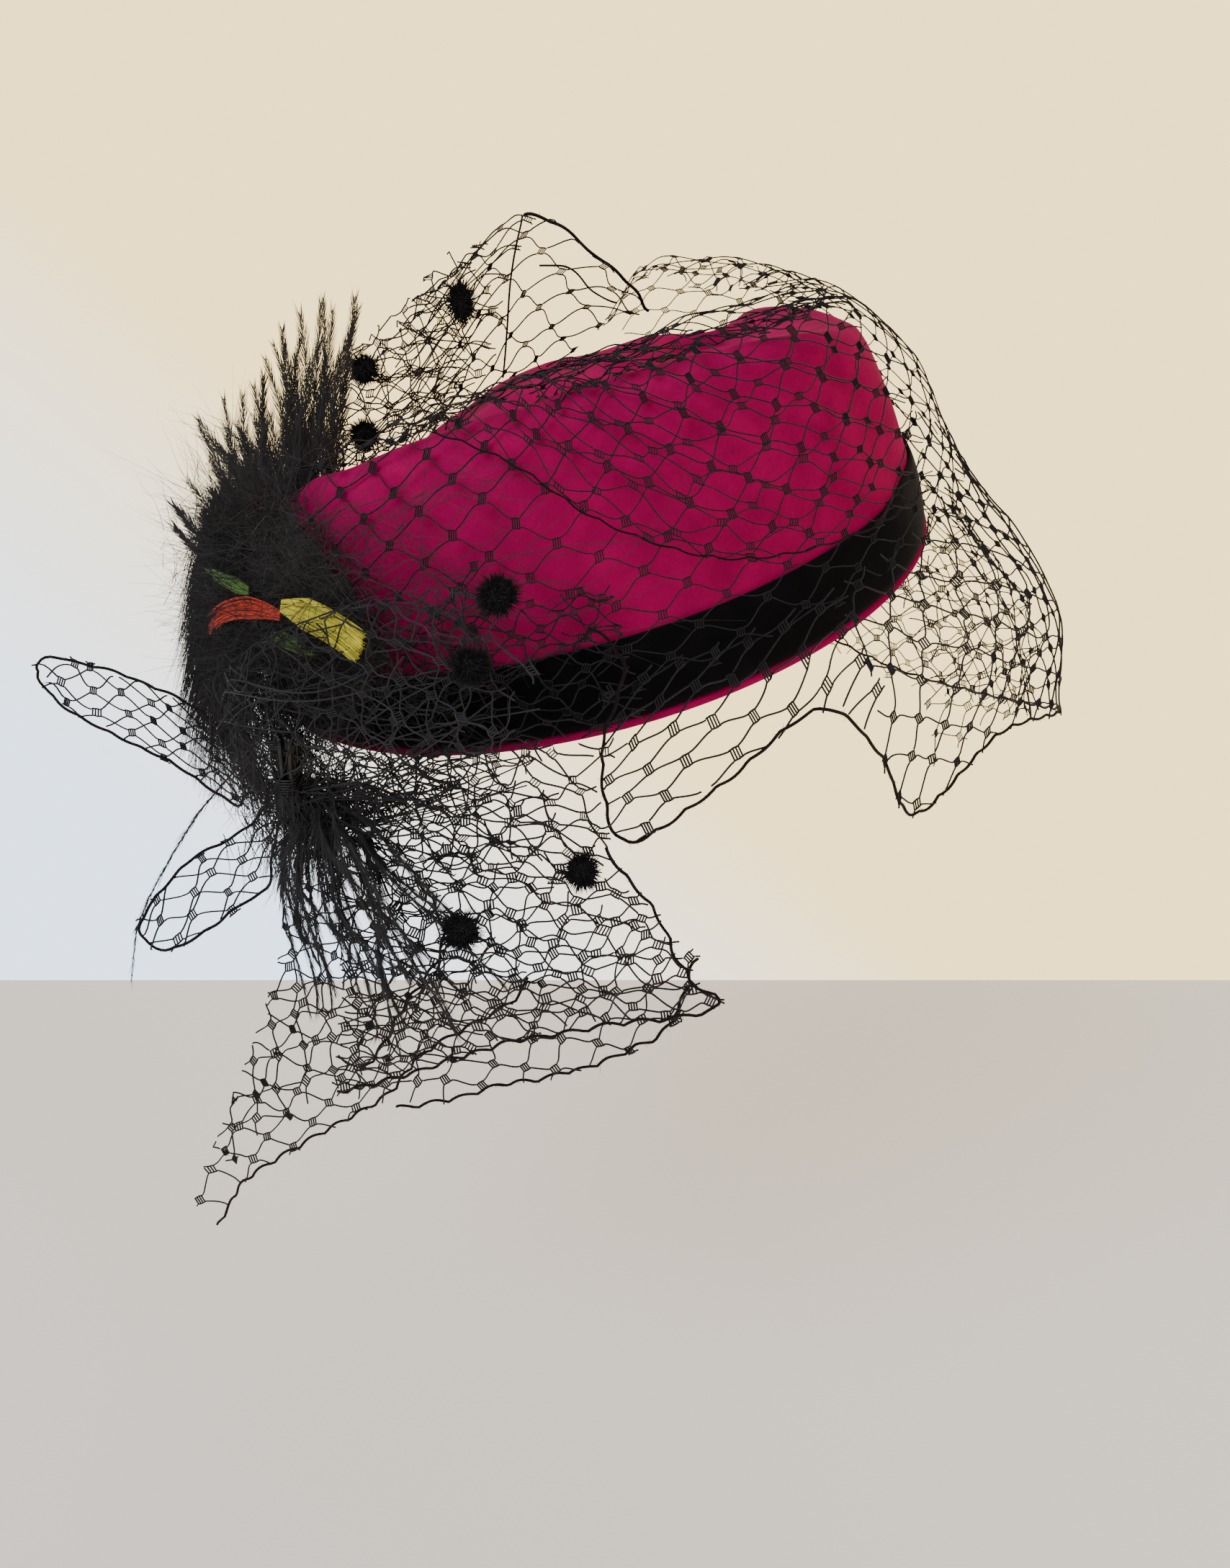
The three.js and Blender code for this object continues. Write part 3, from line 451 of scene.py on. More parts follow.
class Drape:
    """A smooth sheet through sections of points. Its own u runs across the sections and v along them, both
    from 0 to 1.

    Flat cloth coordinates are measured on it: s round the sheet where v is measure_at, and t along each
    section."""

    def __init__(self, sections, measure_at=0.5):
        g = np.array(sections, float)
        g = np.concatenate([2 * g[:1] - g[1:2], g, 2 * g[-1:] - g[-2:-1]], 0)
        g = np.concatenate([2 * g[:, :1] - g[:, 1:2], g, 2 * g[:, -1:] - g[:, -2:-1]], 1)
        self.grid = g
        self.us, vs = np.linspace(0, 1, COLUMNS), np.linspace(0, 1, ROWS)
        points = self.at(self.us[:, None], vs[None, :])
        falls = np.cumsum(np.linalg.norm(np.diff(points, axis=1), axis=-1), 1)
        falls = np.concatenate([np.zeros((COLUMNS, 1)), falls], 1)
        line = self.at(self.us, np.full(COLUMNS, float(measure_at)))
        self.run = np.concatenate([[0], np.cumsum(np.linalg.norm(np.diff(line, axis=0), axis=-1))])
        self.width = self.run[-1]
        self.box = (0.0, 0.0, self.width, float(falls.max()))
        self.ts = np.linspace(0, falls.max() * 1.15, RUNGS)
        end, last = falls[:, -1:], falls[:, -2:-1]
        past = np.clip(self.ts - end, 0, None) * (vs[-1] - vs[-2]) / (end - last)
        self.inverse = np.array([np.interp(self.ts, f, vs) for f in falls]) + past

    def at(self, u, v):
        u, v = np.broadcast_arrays(u, v)
        iu, wu = spline_weights(u, self.grid.shape[0] - 3)
        iv, wv = spline_weights(v, self.grid.shape[1] - 3)
        four = range(4)
        return sum((wu[a] * wv[b])[..., None] * self.grid[iu + a, iv + b] for a in four for b in four)

    def normal(self, u, v):
        along = self.at(u + 0.01, v) - self.at(u - 0.01, v)
        up = self.at(u, v + 0.01) - self.at(u, v - 0.01)
        return unit(np.cross(along, up))

    def parameters(self, s, t):
        """The drape's own (u, v) at a flat place."""
        s, t = np.broadcast_arrays(s, t)
        u = np.interp(s, self.run, self.us)
        u = u + (np.minimum(s, 0) + np.maximum(s - self.width, 0)) / self.width
        k = np.clip(u * (COLUMNS - 1), 0, COLUMNS - 1.001)
        i = k.astype(int)
        f = k - i
        q = np.clip(t / self.ts[-1] * (RUNGS - 1), 0, RUNGS - 1.001)
        j = q.astype(int)
        g = q - j
        near = (1 - g) * self.inverse[i, j] + g * self.inverse[i, j + 1]
        next_one = (1 - g) * self.inverse[i + 1, j] + g * self.inverse[i + 1, j + 1]
        v = (1 - f) * near + f * next_one
        return u, v + np.minimum(t, 0) * (self.inverse[i, 1] / self.ts[1])


# Front veil: turn, hem point, bulge of the skirt, step of its foot on the wall, stand-off at the foot and at
# the ridge, last step and stand-off there. A last step past 1 goes on over the top.
FACE_FOLDS = [
    (-160, (-93, -46, -33), 3, 0.1, 4, 4, 1.28, 3),
    (-142, (-70, -72, -29), 3, 0.15, 4, 4, 1.28, 3),
    (-126, (-43, -91, -12), 3, 0.3, 4, 3.5, 1.28, 3),
    (-113, (-17, -95, 10), 3, 0.55, 3.5, 3.5, 1.28, 3),
    (-104, (7, -98, 0), 3, 0.4, 3.5, 3.5, 1.28, 3),
    (-97, (3, -102, -22), 3, 0.18, 5, 3.5, 1.28, 3),
    (-91, (8, -108, -43), 3, 0.12, 6, 3.5, 1.28, 3),
    (-82, (30, -114, -27), 3, 0.12, 6, 3.5, 1.28, 3),
    (-73, (53, -109, -10), 3, 0.12, 6, 4, 1.28, 3),
    (-63, (70, -99, -24), 3, 0.12, 7, 4, 1.28, 4),
    (-53, (84, -85, -45), 4, 0.12, 9, 5, 1.28, 5),
    (-41, (112, -58, -32), 7, 0.12, 11, 7, 1.28, 6),
    (-27, (138, -30, -34), 12, 0.12, 14, 7, 1.28, 7),
    (-9, (143, 4, -42), 12, 0.12, 15, 7, 1.25, 8),
    (14, (130, 38, -46), 9, 0.12, 15, 9.5, 1.22, 11),
    (34, (106, 60, -42), 6, 0.12, 15, 20.5, 1.18, 22.5),
    (52, (72, 80, -28), 4, 0.12, 14, 21, 1.1, 21),
    (64, (44, 92, -16), 3, 0.12, 12, 11, 1, 9),
]
# Second layer on the crown: turn, step of its cut edge, stand-off at the cut and at the ridge.
CROWN_LAYER_FOLDS = [
    (-121, 0.98, 6, 6), (-104, 0.8, 6.6, 6.8), (-92, 0.6, 6.8, 6.8), (-79, 0.43, 7.6, 6.2),
    (-66, 0.34, 9.6, 7), (-52, 0.29, 12, 8.5), (-38, 0.26, 14.5, 11),
]
# Puff: turn, crest point on the level hat.
PUFF_FOLDS = [
    (172, (-66, 26, 62)), (158, (-47, 36, 76)), (143, (-26, 36, 86)), (126, (-11, 36, 93)),
    (110, (9, 35, 101)), (96, (22, 26, 91)), (85, (32, 22, 77)), (76, (39, 22, 67)),
]
# Hanging pieces, a row for each fold: root, middle, end.
WING_FRONT_FOLDS = [
    ((-36, -93, -33), (-12, -101, -37), (6, -111, -46)),
    ((-45, -90, -38), (-14, -103, -50), (16, -112, -60)),
    ((-53, -86, -42), (-18, -104, -62), (24, -114, -76)),
    ((-60, -83, -46), (-25, -104, -71), (31, -116, -84)),
    ((-65, -80, -49), (-34, -101, -76), (2, -111, -92)),
    ((-69, -78, -51), (-45, -98, -80), (-20, -105, -100)),
    ((-73, -76, -53), (-56, -94, -84), (-44, -98, -113)),
    ((-77, -74, -55), (-66, -91, -87), (-71, -92, -125)),
]
WING_BACK_FOLDS = [
    ((-54, -79, -50), (-12, -92, -62), (27, -101, -77)),
    ((-59, -77, -52), (-16, -92, -74), (21, -101, -97)),
    ((-63, -75, -54), (-24, -90, -82), (10, -99, -107)),
    ((-67, -73, -56), (-34, -87, -88), (-6, -94, -117)),
    ((-71, -71, -57), (-46, -84, -92), (-25, -88, -125)),
    ((-75, -69, -58), (-59, -81, -96), (-51, -83, -135)),
    ((-79, -67, -58), (-70, -78, -97), (-76, -79, -135)),
    ((-82, -66, -57), (-80, -74, -88), (-96, -74, -115)),
]
TAIL_FOLDS = [
    ((-72, -63, -53), (-52, -66, -68), (-29, -70, -88)),
    ((-74, -62, -53), (-52, -66, -80), (-20, -72, -104)),
    ((-76, -61, -53), (-60, -66, -92), (-49, -73, -124)),
    ((-78, -60, -53), (-70, -66, -102), (-64, -71, -142)),
    ((-80, -59, -53), (-82, -64, -110), (-105, -69, -170)),
    ((-82, -58, -53), (-90, -62, -110), (-119, -67, -191)),
    ((-84, -57, -53), (-93, -60, -106), (-124, -65, -180)),
    ((-86, -56, -53), (-94, -59, -94), (-112, -64, -149)),
    ((-88, -55, -53), (-95, -58, -82), (-99, -63, -117)),
    ((-90, -54, -52), (-95, -57, -74), (-95, -62, -94)),
]
TAIL_CUT = 0.69  # the part of the tail's folds that is covered
# Loops, a row for each station from the tie to the tip: upper edge, lower edge.
LOOP_HIGH = [
    ((-93, -54, -45), (-90, -59, -50)), ((-104, -48, -36), (-96, -58, -50)),
    ((-116, -43, -28), (-100, -58, -53)), ((-126, -41, -24), (-117, -52, -44)),
    ((-136, -40, -20), (-128, -50, -39)), ((-146, -40, -17), (-147, -46, -30)),
    ((-154, -40, -14), (-155, -43, -24)), ((-158, -40, -16), (-159, -41, -20)),
]
LOOP_LOW = [
    ((-88, -60, -51), (-85, -63, -53)), ((-93, -66, -55), (-87, -70, -60)),
    ((-99, -69, -59), (-88, -75, -70)), ((-108, -71, -63), (-96, -77, -75)),
    ((-115, -73, -69), (-104, -78, -81)), ((-122, -75, -76), (-116, -79, -88)),
    ((-126, -76, -81), (-125, -77, -86)),
]
# Bunched veiling over the feather base: low, middle, high.
GATHER_FOLDS = [
    ((-88, -62, -53), (-93, -66, -38), (-95, -64, -20)),
    ((-74, -74, -49), (-78, -81, -30), (-84, -80, -8)),
    ((-56, -85, -42), (-59, -93, -22), (-64, -92, 2)),
    ((-36, -94, -35), (-36, -102, -14), (-40, -98, 10)),
    ((-14, -100, -29), (-10, -107, -10), (-15, -104, 12)),
]
# Veiling that streams from the tie under the band: low, middle, high.
NECK_FOLDS = [
    ((-78, -76, -53), (-76, -81, -47), (-74, -85, -40)),
    ((-60, -87, -54), (-56, -94, -42), (-53, -96, -28)),
    ((-42, -95, -54), (-36, -102, -40), (-33, -104, -24)),
    ((-20, -103, -51), (-13, -109, -37), (-12, -109, -22)),
    ((2, -111, -50), (5, -114, -35), (6, -113, -20)),
]
TIE = ((-92, -54, -51), (-48, -80, -46))
TIE_RADIUS = 6.3
WINDINGS = 95  # threads wound round the tie
# Loose threads drawn over the gather: how many, and how many of those stay below the coloured feathers.
DRAWN_THREADS, LOW_THREADS = 50, 34


def face_sections():
    """The front veil from its hem, over the band and up the crown."""
    sections = []
    for turn, hem, bulge, foot_step, near, far, reach, over in FACE_FOLDS:
        foot, hem = on_hat(turn, foot_step, near), np.array(hem, float)
        skirt = (hem + foot) / 2
        out = skirt * (1, 1, 0) / np.linalg.norm(skirt[:2])
        middle = on_hat(turn, (foot_step + 1) / 2, (near + far) / 2)
        top = on_hat(turn, 1 if reach > 1 else 0.93, far)
        sections.append([hem, skirt + out * bulge, foot, middle, top, on_hat(turn, reach, over)])
    return sections


def crown_layer_sections():
    """The second layer from its cut edge, over the ridge and on to the top."""
    sections = []
    for turn, cut, low, high in CROWN_LAYER_FOLDS:
        places = [(cut, low), ((cut + 1) / 2, (low + high) / 2), (1, high), (1.34, high)]
        sections.append([on_hat(turn, step, off) for step, off in places])
    return sections


def puff_sections():
    """The standing fold, up its front, over the crest and down its back."""
    sections = []
    for turn, crest in PUFF_FOLDS:
        foot, heel, top = on_hat(turn, 1.14, 1), on_hat(turn, 0.62, 1), worn(crest)
        rise = (foot + top) / 2 + (0, -5, 5)
        fall = (heel + top) / 2 + (0, 5, 5)
        sections.append([foot, rise, top, fall, heel])
    return sections


def loop_sections(stations):
    """Upper edge, middle and lower edge at each station."""
    return [[a, (np.array(a) + b) / 2, b] for a, b in stations]


# ---- Diamond veiling ----
CELL = (22.0, 12.5)  # one relaxed diamond along the selvage and across it
KNOT = (1.05, 0.82)  # half sizes of the woven block where two threads meet
THREAD = 0.25  # radius; drawn a little coarse so that it shows
BAR = 0.19  # radius of the four short threads across a knot
BARS = (-0.84, -0.3, 0.26, 0.8)  # where they lie along the knot
LONGEST = 6.0  # a stretch of thread longer than this would jump across a fold, and is left out
CALM = 8.0  # how far from a selvage the net starts to wander
CHART_COLUMNS, CHART_ROWS = 81, 49


class Chart:
    """Flat cloth coordinates for a drape, read from where its points lie, for cloth that hangs free of its
    root."""

    def __init__(self, drape, flat, reach=1.0, rows=(0.0, 1.0)):
        self.drape, self.flat, self.rows = drape, flat, rows
        u, v = np.meshgrid(np.linspace(0, reach, CHART_COLUMNS), np.linspace(*rows, CHART_ROWS))
        self.u, self.v = u.ravel(), v.ravel()
        self.known = flat(drape.at(self.u, self.v))
        self.box = (*self.known.min(0), *self.known.max(0))

    def parameters(self, s, t):
        """The drape's (u, v) at a flat place: the nearest known point, then four steps closer."""
        shape = np.broadcast(s, t).shape
        wanted = np.stack([np.broadcast_to(s, shape).ravel(), np.broadcast_to(t, shape).ravel()], -1)
        nearest = [
            ((part[:, None] - self.known[None]) ** 2).sum(-1).argmin(1)
            for part in np.array_split(wanted, len(wanted) // 2000 + 1)
        ]
        k = np.concatenate(nearest)
        u, v = self.u[k].copy(), self.v[k].copy()
        small = 0.004
        for _ in range(4):
            here = self.flat(self.drape.at(u, v))
            du = (self.flat(self.drape.at(u + small, v)) - here) / small
            dv = (self.flat(self.drape.at(u, v + small)) - here) / small
            miss = wanted - here
            area = du[:, 0] * dv[:, 1] - du[:, 1] * dv[:, 0]
            area = np.where(np.abs(area) < 4, np.where(area < 0, -4, 4), area)
            u = u + ((miss[:, 0] * dv[:, 1] - miss[:, 1] * dv[:, 0]) / area).clip(-0.06, 0.06)
            v = v + ((du[:, 0] * miss[:, 1] - du[:, 1] * miss[:, 0]) / area).clip(-0.08, 0.08)
            u, v = u.clip(-0.2, 1.2), v.clip(self.rows[0] - 0.3, self.rows[1] + 0.3)
        return u.reshape(shape), v.reshape(shape)

    def found(self, s, t, u, v):
        """Whether (u, v) really lies at the flat place asked for."""
        return ((self.flat(self.drape.at(u, v)) - np.stack([s, t], -1)) ** 2).sum(-1) < 0.5


def upright_chart(drape, rows_rise, reach=1.0, rows=(0.0, 1.0)):
    """Rows of diamonds straight across the front view, rising by that angle towards the wearer's left."""
    c, s = math.cos(math.radians(rows_rise)), math.sin(math.radians(rows_rise))

    def flat(p):
        return np.stack([p[..., 0] * c + p[..., 2] * s, p[..., 2] * c - p[..., 0] * s], -1)

    return Chart(drape, flat, reach, rows)


def hat_chart(drape):
    """Rows of diamonds level with the band, all round."""

    def flat(p):
        q = p @ WORN
        around = np.arctan2(q[..., 1] / RIM[1], q[..., 0] / RIM[0])
        return np.stack([around * (RIM[0] + RIM[1]) / 2 * 1.18, q[..., 2]], -1)

    return Chart(drape, flat)


def sized(cell):
    """A diamond's length and height, scaled by the veiling settings."""
    props = bpy.context.scene.toque_veil
    longer, higher = round(props.cell_length / MM, 3) / CELL[0], round(props.cell_height / MM, 3) / CELL[1]
    return cell[0] * longer, cell[1] * higher


class Net:
    """One layer of diamond veiling, laid flat and then carried on to a drape.

    cloth is a Drape or a Chart, and cell is one diamond as it lies there. lift moves the sheet off the drape,
    crumple is the height of its waves and wave their length. slant turns the diamonds by that angle, phase
    shifts them sideways by that part of one, opens spreads the rows from the first edge on, and loose is how
    far the knots wander. keep is a test on the drape's own (u, v): threads stop where the kept part ends.
    past and before let the net run on beyond the drape's last and first edge, and raw says that the first row
    is no selvage. thread and bar are radii, and knot is the size of the knots."""

    def __init__(
        self, cloth, seed, cell, lift=0.0, slant=0.0, crumple=1.5, wave=34.0, keep=None, raw=False,
        past=0.0, before=0.0, phase=0.0, loose=0.45, thread=THREAD, bar=BAR, opens=0.0, knot=1.0,
    ):
        self.thread, self.bar, self.opens, self.knot = thread, bar, opens, knot
        self.cloth, self.drape = cloth, getattr(cloth, "drape", cloth)
        self.cell, self.lift, self.crumple, self.keep = sized(cell), lift, crumple, keep
        self.past, self.before = past, before
        self.raw = raw or bool(slant) or isinstance(cloth, Chart)
        self.rng = np.random.default_rng(seed)
        self.waves = [Drift(seed * 7 + k, wave * size) for k, size in enumerate((1.0, 0.55, 1.3, 1.3))]
        self.slant = math.radians(slant)
        self.lay(phase, loose)

    def flat(self, x, y):
        """Lattice plane to cloth coordinates."""
        left, low, right, high = self.cloth.box
        c, s = math.cos(self.slant), math.sin(self.slant)
        mx, my = (left + right) / 2, (low + high) / 2
        sx = mx + c * (x - mx) - s * (y - my)
        ty = my + s * (x - mx) + c * (y - my)
        ty = ty + self.opens * (ty - low) ** 2 / (high - low) if self.opens else ty
        still = 1.0 if self.raw else np.clip(ty / CALM, 0, 1)
        return sx + 1.3 * self.waves[2](sx, ty), ty + 1.1 * self.waves[3](sx + 50, ty) * still

    def place(self, x, y, extra=0.0):
        """Points in space, and the way out of the cloth there."""
        s, t = self.flat(x, y)
        u, v = self.cloth.parameters(s, t)
        off = self.lift + self.crumple * (0.7 * self.waves[0](s, t) + 0.3 * self.waves[1](s, t)) + extra
        normal = self.drape.normal(u, v)
        return self.drape.at(u, v) + normal * off[..., None], normal

    def inside(self, x, y):
        """Whether a place on the lattice lies on the kept part of the cloth."""
        s, t = self.flat(x, y)
        u, v = self.cloth.parameters(s, t)
        ok = (u > -0.004) & (u < 1.004) & (v > -0.004 - self.before) & (v < 1.004 + self.past)
        if isinstance(self.cloth, Chart):
            ok = ok & self.cloth.found(s, t, u, v)
        return ok & self.keep(u, v) if self.keep else ok

    def lay(self, phase, loose):
        """Sets out the knots, every other row half a diamond along."""
        w, h = self.cell
        left, low, right, high = self.cloth.box
        far = math.hypot(right - left, high - low) / 2 if self.slant else 0.0
        past, before = self.past * (high - low), self.before * (high - low)
        if self.raw:
            first = math.floor((low - far - past - before) * 2 / h)
            last = math.ceil((high + far + past + before) * 2 / h)
            rows = np.arange(first - 1, last + 2)
        else:
            rows = np.arange(0, math.ceil((high + past) * 2 / h) + 2)
        columns = np.arange(math.floor((left - far) / w) - 2, math.ceil((right + far) / w) + 2)
        i, j = np.meshgrid(rows, columns, indexing="ij")
        self.x = (j + 0.5 * (i % 2) + phase) * w + self.rng.normal(0, loose, i.shape)
        self.y = i * h / 2 + self.rng.normal(0, loose * 0.8, i.shape) * (self.raw | (i > 0))
        self.i = i
        self.kept = self.inside(self.x, self.y)

    def edges(self):
        """Index pairs of the knots that each thread joins, and the side it leans to."""
        n, m = self.x.shape
        for side in (-1, 1):
            jump = self.i[:-1] % 2 - (0 if side > 0 else 1)
            a_i, a_j = np.meshgrid(np.arange(n - 1), np.arange(m), indexing="ij")
            b_j = a_j + jump
            ok = (b_j >= 0) & (b_j < m)
            yield (a_i[ok], a_j[ok]), (a_i[ok] + 1, b_j[ok]), side

    def weave(self, strands):
        """Sends the threads from knot to knot, then the knots, to a Strands collector."""
        kw, kh = KNOT[0] * self.knot, KNOT[1] * self.knot
        for a, b, side in self.edges():
            use = self.kept[a] | self.kept[b]
            a, b = (a[0][use], a[1][use]), (b[0][use], b[1][use])
            ka, kb = self.kept[a], self.kept[b]
            if not use.any():
                continue
            on_selvage = (self.i[a] == 0) & (not self.raw)
            x0 = self.x[a] + side * np.where(on_selvage, 0, kw)
            y0 = self.y[a] + np.where(on_selvage, 0, kh)
            x3, y3 = self.x[b] - side * kw, self.y[b] - kh
            dx, dy = x3 - x0, y3 - y0
            bow = self.rng.normal(0, 0.13, (2, len(dx)))
            corners = np.stack(
                [
                    np.stack([x0, y0], -1),
                    np.stack([x0 + 0.33 * dx, y0 + (0.17 + bow[0]) * dy], -1),
                    np.stack([x3 - 0.33 * dx, y3 - (0.17 + bow[1]) * dy], -1),
                    np.stack([x3, y3], -1),
                ]
            )
            corners = np.where((kb & ~ka)[None, :, None], corners[::-1], corners)

            def point(q):
                q = q[..., None]
                c = corners[:, :, None]
                near = (1 - q) ** 3 * c[0] + 3 * q * (1 - q) ** 2 * c[1]
                return near + 3 * q**2 * (1 - q) * c[2] + q**3 * c[3]

            stop = np.ones(len(dx))
            cut = ~(ka & kb)
            if cut.any():
                tries = np.broadcast_to(np.linspace(0.1, 1, 10), (len(dx), 10))
                p = point(tries)
                out = ~self.inside(p[..., 0], p[..., 1])
                reached = 0.1 * (1 + out.argmax(1)) * np.where(out.any(1), 1, 10)
                stop = np.where(cut, reached, 1.0).clip(0.08, 1)
            q = np.linspace(0, 1, 7)[None] * stop[:, None]
            p = point(q)
            path, normal = self.place(p[..., 0], p[..., 1])
            whole = np.linalg.norm(np.diff(path, axis=1), axis=-1).max(1) < LONGEST
            strands.tubes(path[whole], normal[whole], self.thread)
        knots = self.kept & (self.raw | (self.i > 0))
        x, y = self.x[knots], self.y[knots]
        tilt = self.rng.normal(0, 0.12, len(x))
        for rail in (-1, 1):
            q = np.array([-1, 0, 1.0])
            px = x[:, None] + q * kw
            py = y[:, None] + rail * (kh + 0.12 * (1 - q**2)) + tilt[:, None] * q
            path, normal = self.place(px, py)
            strands.tubes(path, normal, self.thread)
        for bar in BARS:
            q = np.array([-1.0, 1.0])
            px = x[:, None] + bar * kw + 0.12 * q
            py = y[:, None] + q * kh + tilt[:, None] * bar
            path, normal = self.place(px, py, 0.05)
            strands.tubes(path, normal, self.bar)


def ragged(seed, right, fray, at):
    """A keep test for cloth torn off near u = right, its edge wandering by fray."""
    edge = Drift(seed, 0.5)
    return lambda u, v: u < right + fray * edge(v, at)


def corded_edge(net, strands, corners, radius=0.42, fuzz=1.5, ripple=0.0):
    """A corded selvage laid over the net's drape, through corners given as its (u, v). ripple is how far it
    is drawn in between the threads that meet it."""
    corners = np.asarray(corners, float)
    k = np.linspace(0, 1, len(corners))
    rough = np.linspace(0, 1, 200)
    line = net.drape.at(np.interp(rough, k, corners[:, 0]), np.interp(rough, k, corners[:, 1]))
    length = np.concatenate([[0], np.cumsum(np.linalg.norm(np.diff(line, axis=0), axis=-1))])
    at = np.linspace(0, length[-1], max(int(length[-1] / 1.3), 12))
    q = np.interp(at, length, rough)
    u, v = np.interp(q, k, corners[:, 0]), np.interp(q, k, corners[:, 1])
    soft = np.ones(7) / 7
    u, v = (np.convolve(np.pad(c, 3, mode="edge"), soft, mode="valid") for c in (u, v))
    normal = net.drape.normal(u, v)
    s, t = u * 200, v * 60
    path = net.drape.at(u, v) + normal * (net.lift + net.crumple * 0.6 * net.waves[0](s, t))[:, None]
    heading = unit(np.gradient(path, axis=0))
    pull = ripple * np.abs(np.sin(np.pi * at / 9.5)) - ripple / 2
    path = path + np.cross(heading, normal) * pull[:, None]
    lay_cord(strands, path, normal, radius, fuzz, net.rng)


def lay_cord(strands, path, normal, radius, fuzz, rng):
    """A twisted cord along a path, with short fibre ends standing out of it."""
    strands.tubes(path[None], normal[None], radius, sides=6, closed_ends=True)
    length = np.linalg.norm(np.diff(path, axis=0), axis=-1).sum()
    hairs = int(length * fuzz)
    at = rng.uniform(0, len(path) - 1.001, hairs)
    k = at.astype(int)
    base = path[k] + (path[k + 1] - path[k]) * (at - k)[:, None]
    out = unit(rng.normal(size=(hairs, 3)))
    reach = radius + rng.gamma(2.0, 0.28, hairs)
    q = np.array([0.2, 0.6, 1.0])
    hair = base[:, None] + out[:, None] * (reach[:, None] * q)[..., None]
    hair = hair + unit(rng.normal(size=(hairs, 3)))[:, None] * (0.35 * q**2)[None, :, None]
    strands.ribbons(hair, (0, -1, 0.3), np.array([0.05, 0.045, 0.02]))


# ---- Feathers ----
def bezier(a, b, c, t):
    """A curve from a to c, drawn towards b."""
    t = np.asarray(t, float)[..., None]
    a, b, c = (np.asarray(p, float) for p in (a, b, c))
    return (1 - t) ** 2 * a + 2 * t * (1 - t) * b + t**2 * c


def through(a, b, c, t):
    """A curve that passes b half way from a to c."""
    a, b, c = (np.asarray(p, float) for p in (a, b, c))
    return bezier(a, 2 * b - (a + c) / 2, c, t)


class Feather:
    """A shaft with barbs on both sides, sent to a Strands collector.

    barb is the length of the barbs, spread their angle from the shaft, count how many there are on each side
    and width their half width. shaft is the shaft's radius, bare the part of it without barbs, tip how long
    the last barbs are, curl how far they bend towards the tip and loose how unlike each other they are."""

    def __init__(
        self, strands, spine, rng, facing, barb, spread, count, shaft, bare, tip, width, curl, loose=0.12
    ):
        spine = np.asarray(spine, float)
        n = len(spine)
        shaft_radius = np.linspace(shaft, 0.04, n)
        facing = unit(np.asarray(facing, float))
        strands.tubes(spine[None], facing, shaft_radius[None], sides=3)
        heading = unit(np.gradient(spine, axis=0))
        where = np.linspace(bare, 0.99, count)
        k = np.clip(where * (n - 1), 0, n - 1.001)
        i = k.astype(int)
        f = (k - i)[:, None]
        base = spine[i] * (1 - f) + spine[i + 1] * f
        ahead = unit(heading[i] * (1 - f) + heading[i + 1] * f)
        side = unit(np.cross(ahead, facing))
        over = np.cross(side, ahead)
        profile = barb * np.minimum(1, (where - bare) / 0.15 + 0.4) * (1 - (1 - tip) * where**2)
        for hand in (-1, 1):
            length = profile * rng.uniform(1 - loose * 2, 1 + loose, count)
            angle = np.radians(spread * rng.normal(1, loose * 1.4, count) * (1.15 - 0.45 * where))
            out = ahead * np.cos(angle)[:, None] + hand * side * np.sin(angle)[:, None]
            out = unit(out + over * rng.normal(0, 0.16, count)[:, None])
            q = np.array([0, 0.35, 0.7, 1.0])
            bend = ahead * curl + over * rng.normal(0, 0.12, count)[:, None]
            reach = out[:, None] * q[None, :, None] + bend[:, None] * (q**2)[None, :, None]
            path = base[:, None] + reach * length[:, None, None]
            taper = width * np.array([1.0, 0.9, 0.6, 0.15])
            strands.ribbons(path, over[:, None] + 0.3 * side[:, None], taper)


def fluff(strands, base, out, rng, length, width=0.07, curl=0.5, points=5, droop=(0, 0, 0)):
    """Loose soft barbs: base and out are (n, 3); each curls on its own way."""
    n = len(base)
    q = np.linspace(0, 1, points)
    bend = unit(rng.normal(size=(n, 3))) * curl
    wobble = unit(rng.normal(size=(n, 3))) * curl * 0.35
    path = out[:, None] * q[None, :, None] + bend[:, None] * (q**2)[None, :, None]
    path = path + wobble[:, None] * np.sin(q * 5.5)[None, :, None] * q[None, :, None]
    path = path + np.asarray(droop, float) * (q**2)[None, :, None]
    path = base[:, None] + path * np.asarray(length, float)[:, None, None]
    taper = width * (1 - 0.8 * q)
    strands.ribbons(path, (0.2, -1, 0.35), taper)


# ---- Pieces ----
TURNS = 240  # points round the crown
WALL_STEPS, TOP_STEPS = 44, 22  # rows up the wall, and on from there to the middle of the top
# The turned edge of the felt, from inside to outside: out from the rim, and up.
TURNED_EDGE = [
    (-2, -0.9), (-1.7, -1.7), (-1, -2.15), (0, -2.25), (0.8, -2.1), (1.3, -1.6), (1.35, -0.9), (0.84, -0.35)
]
BAND_TURNS = 300


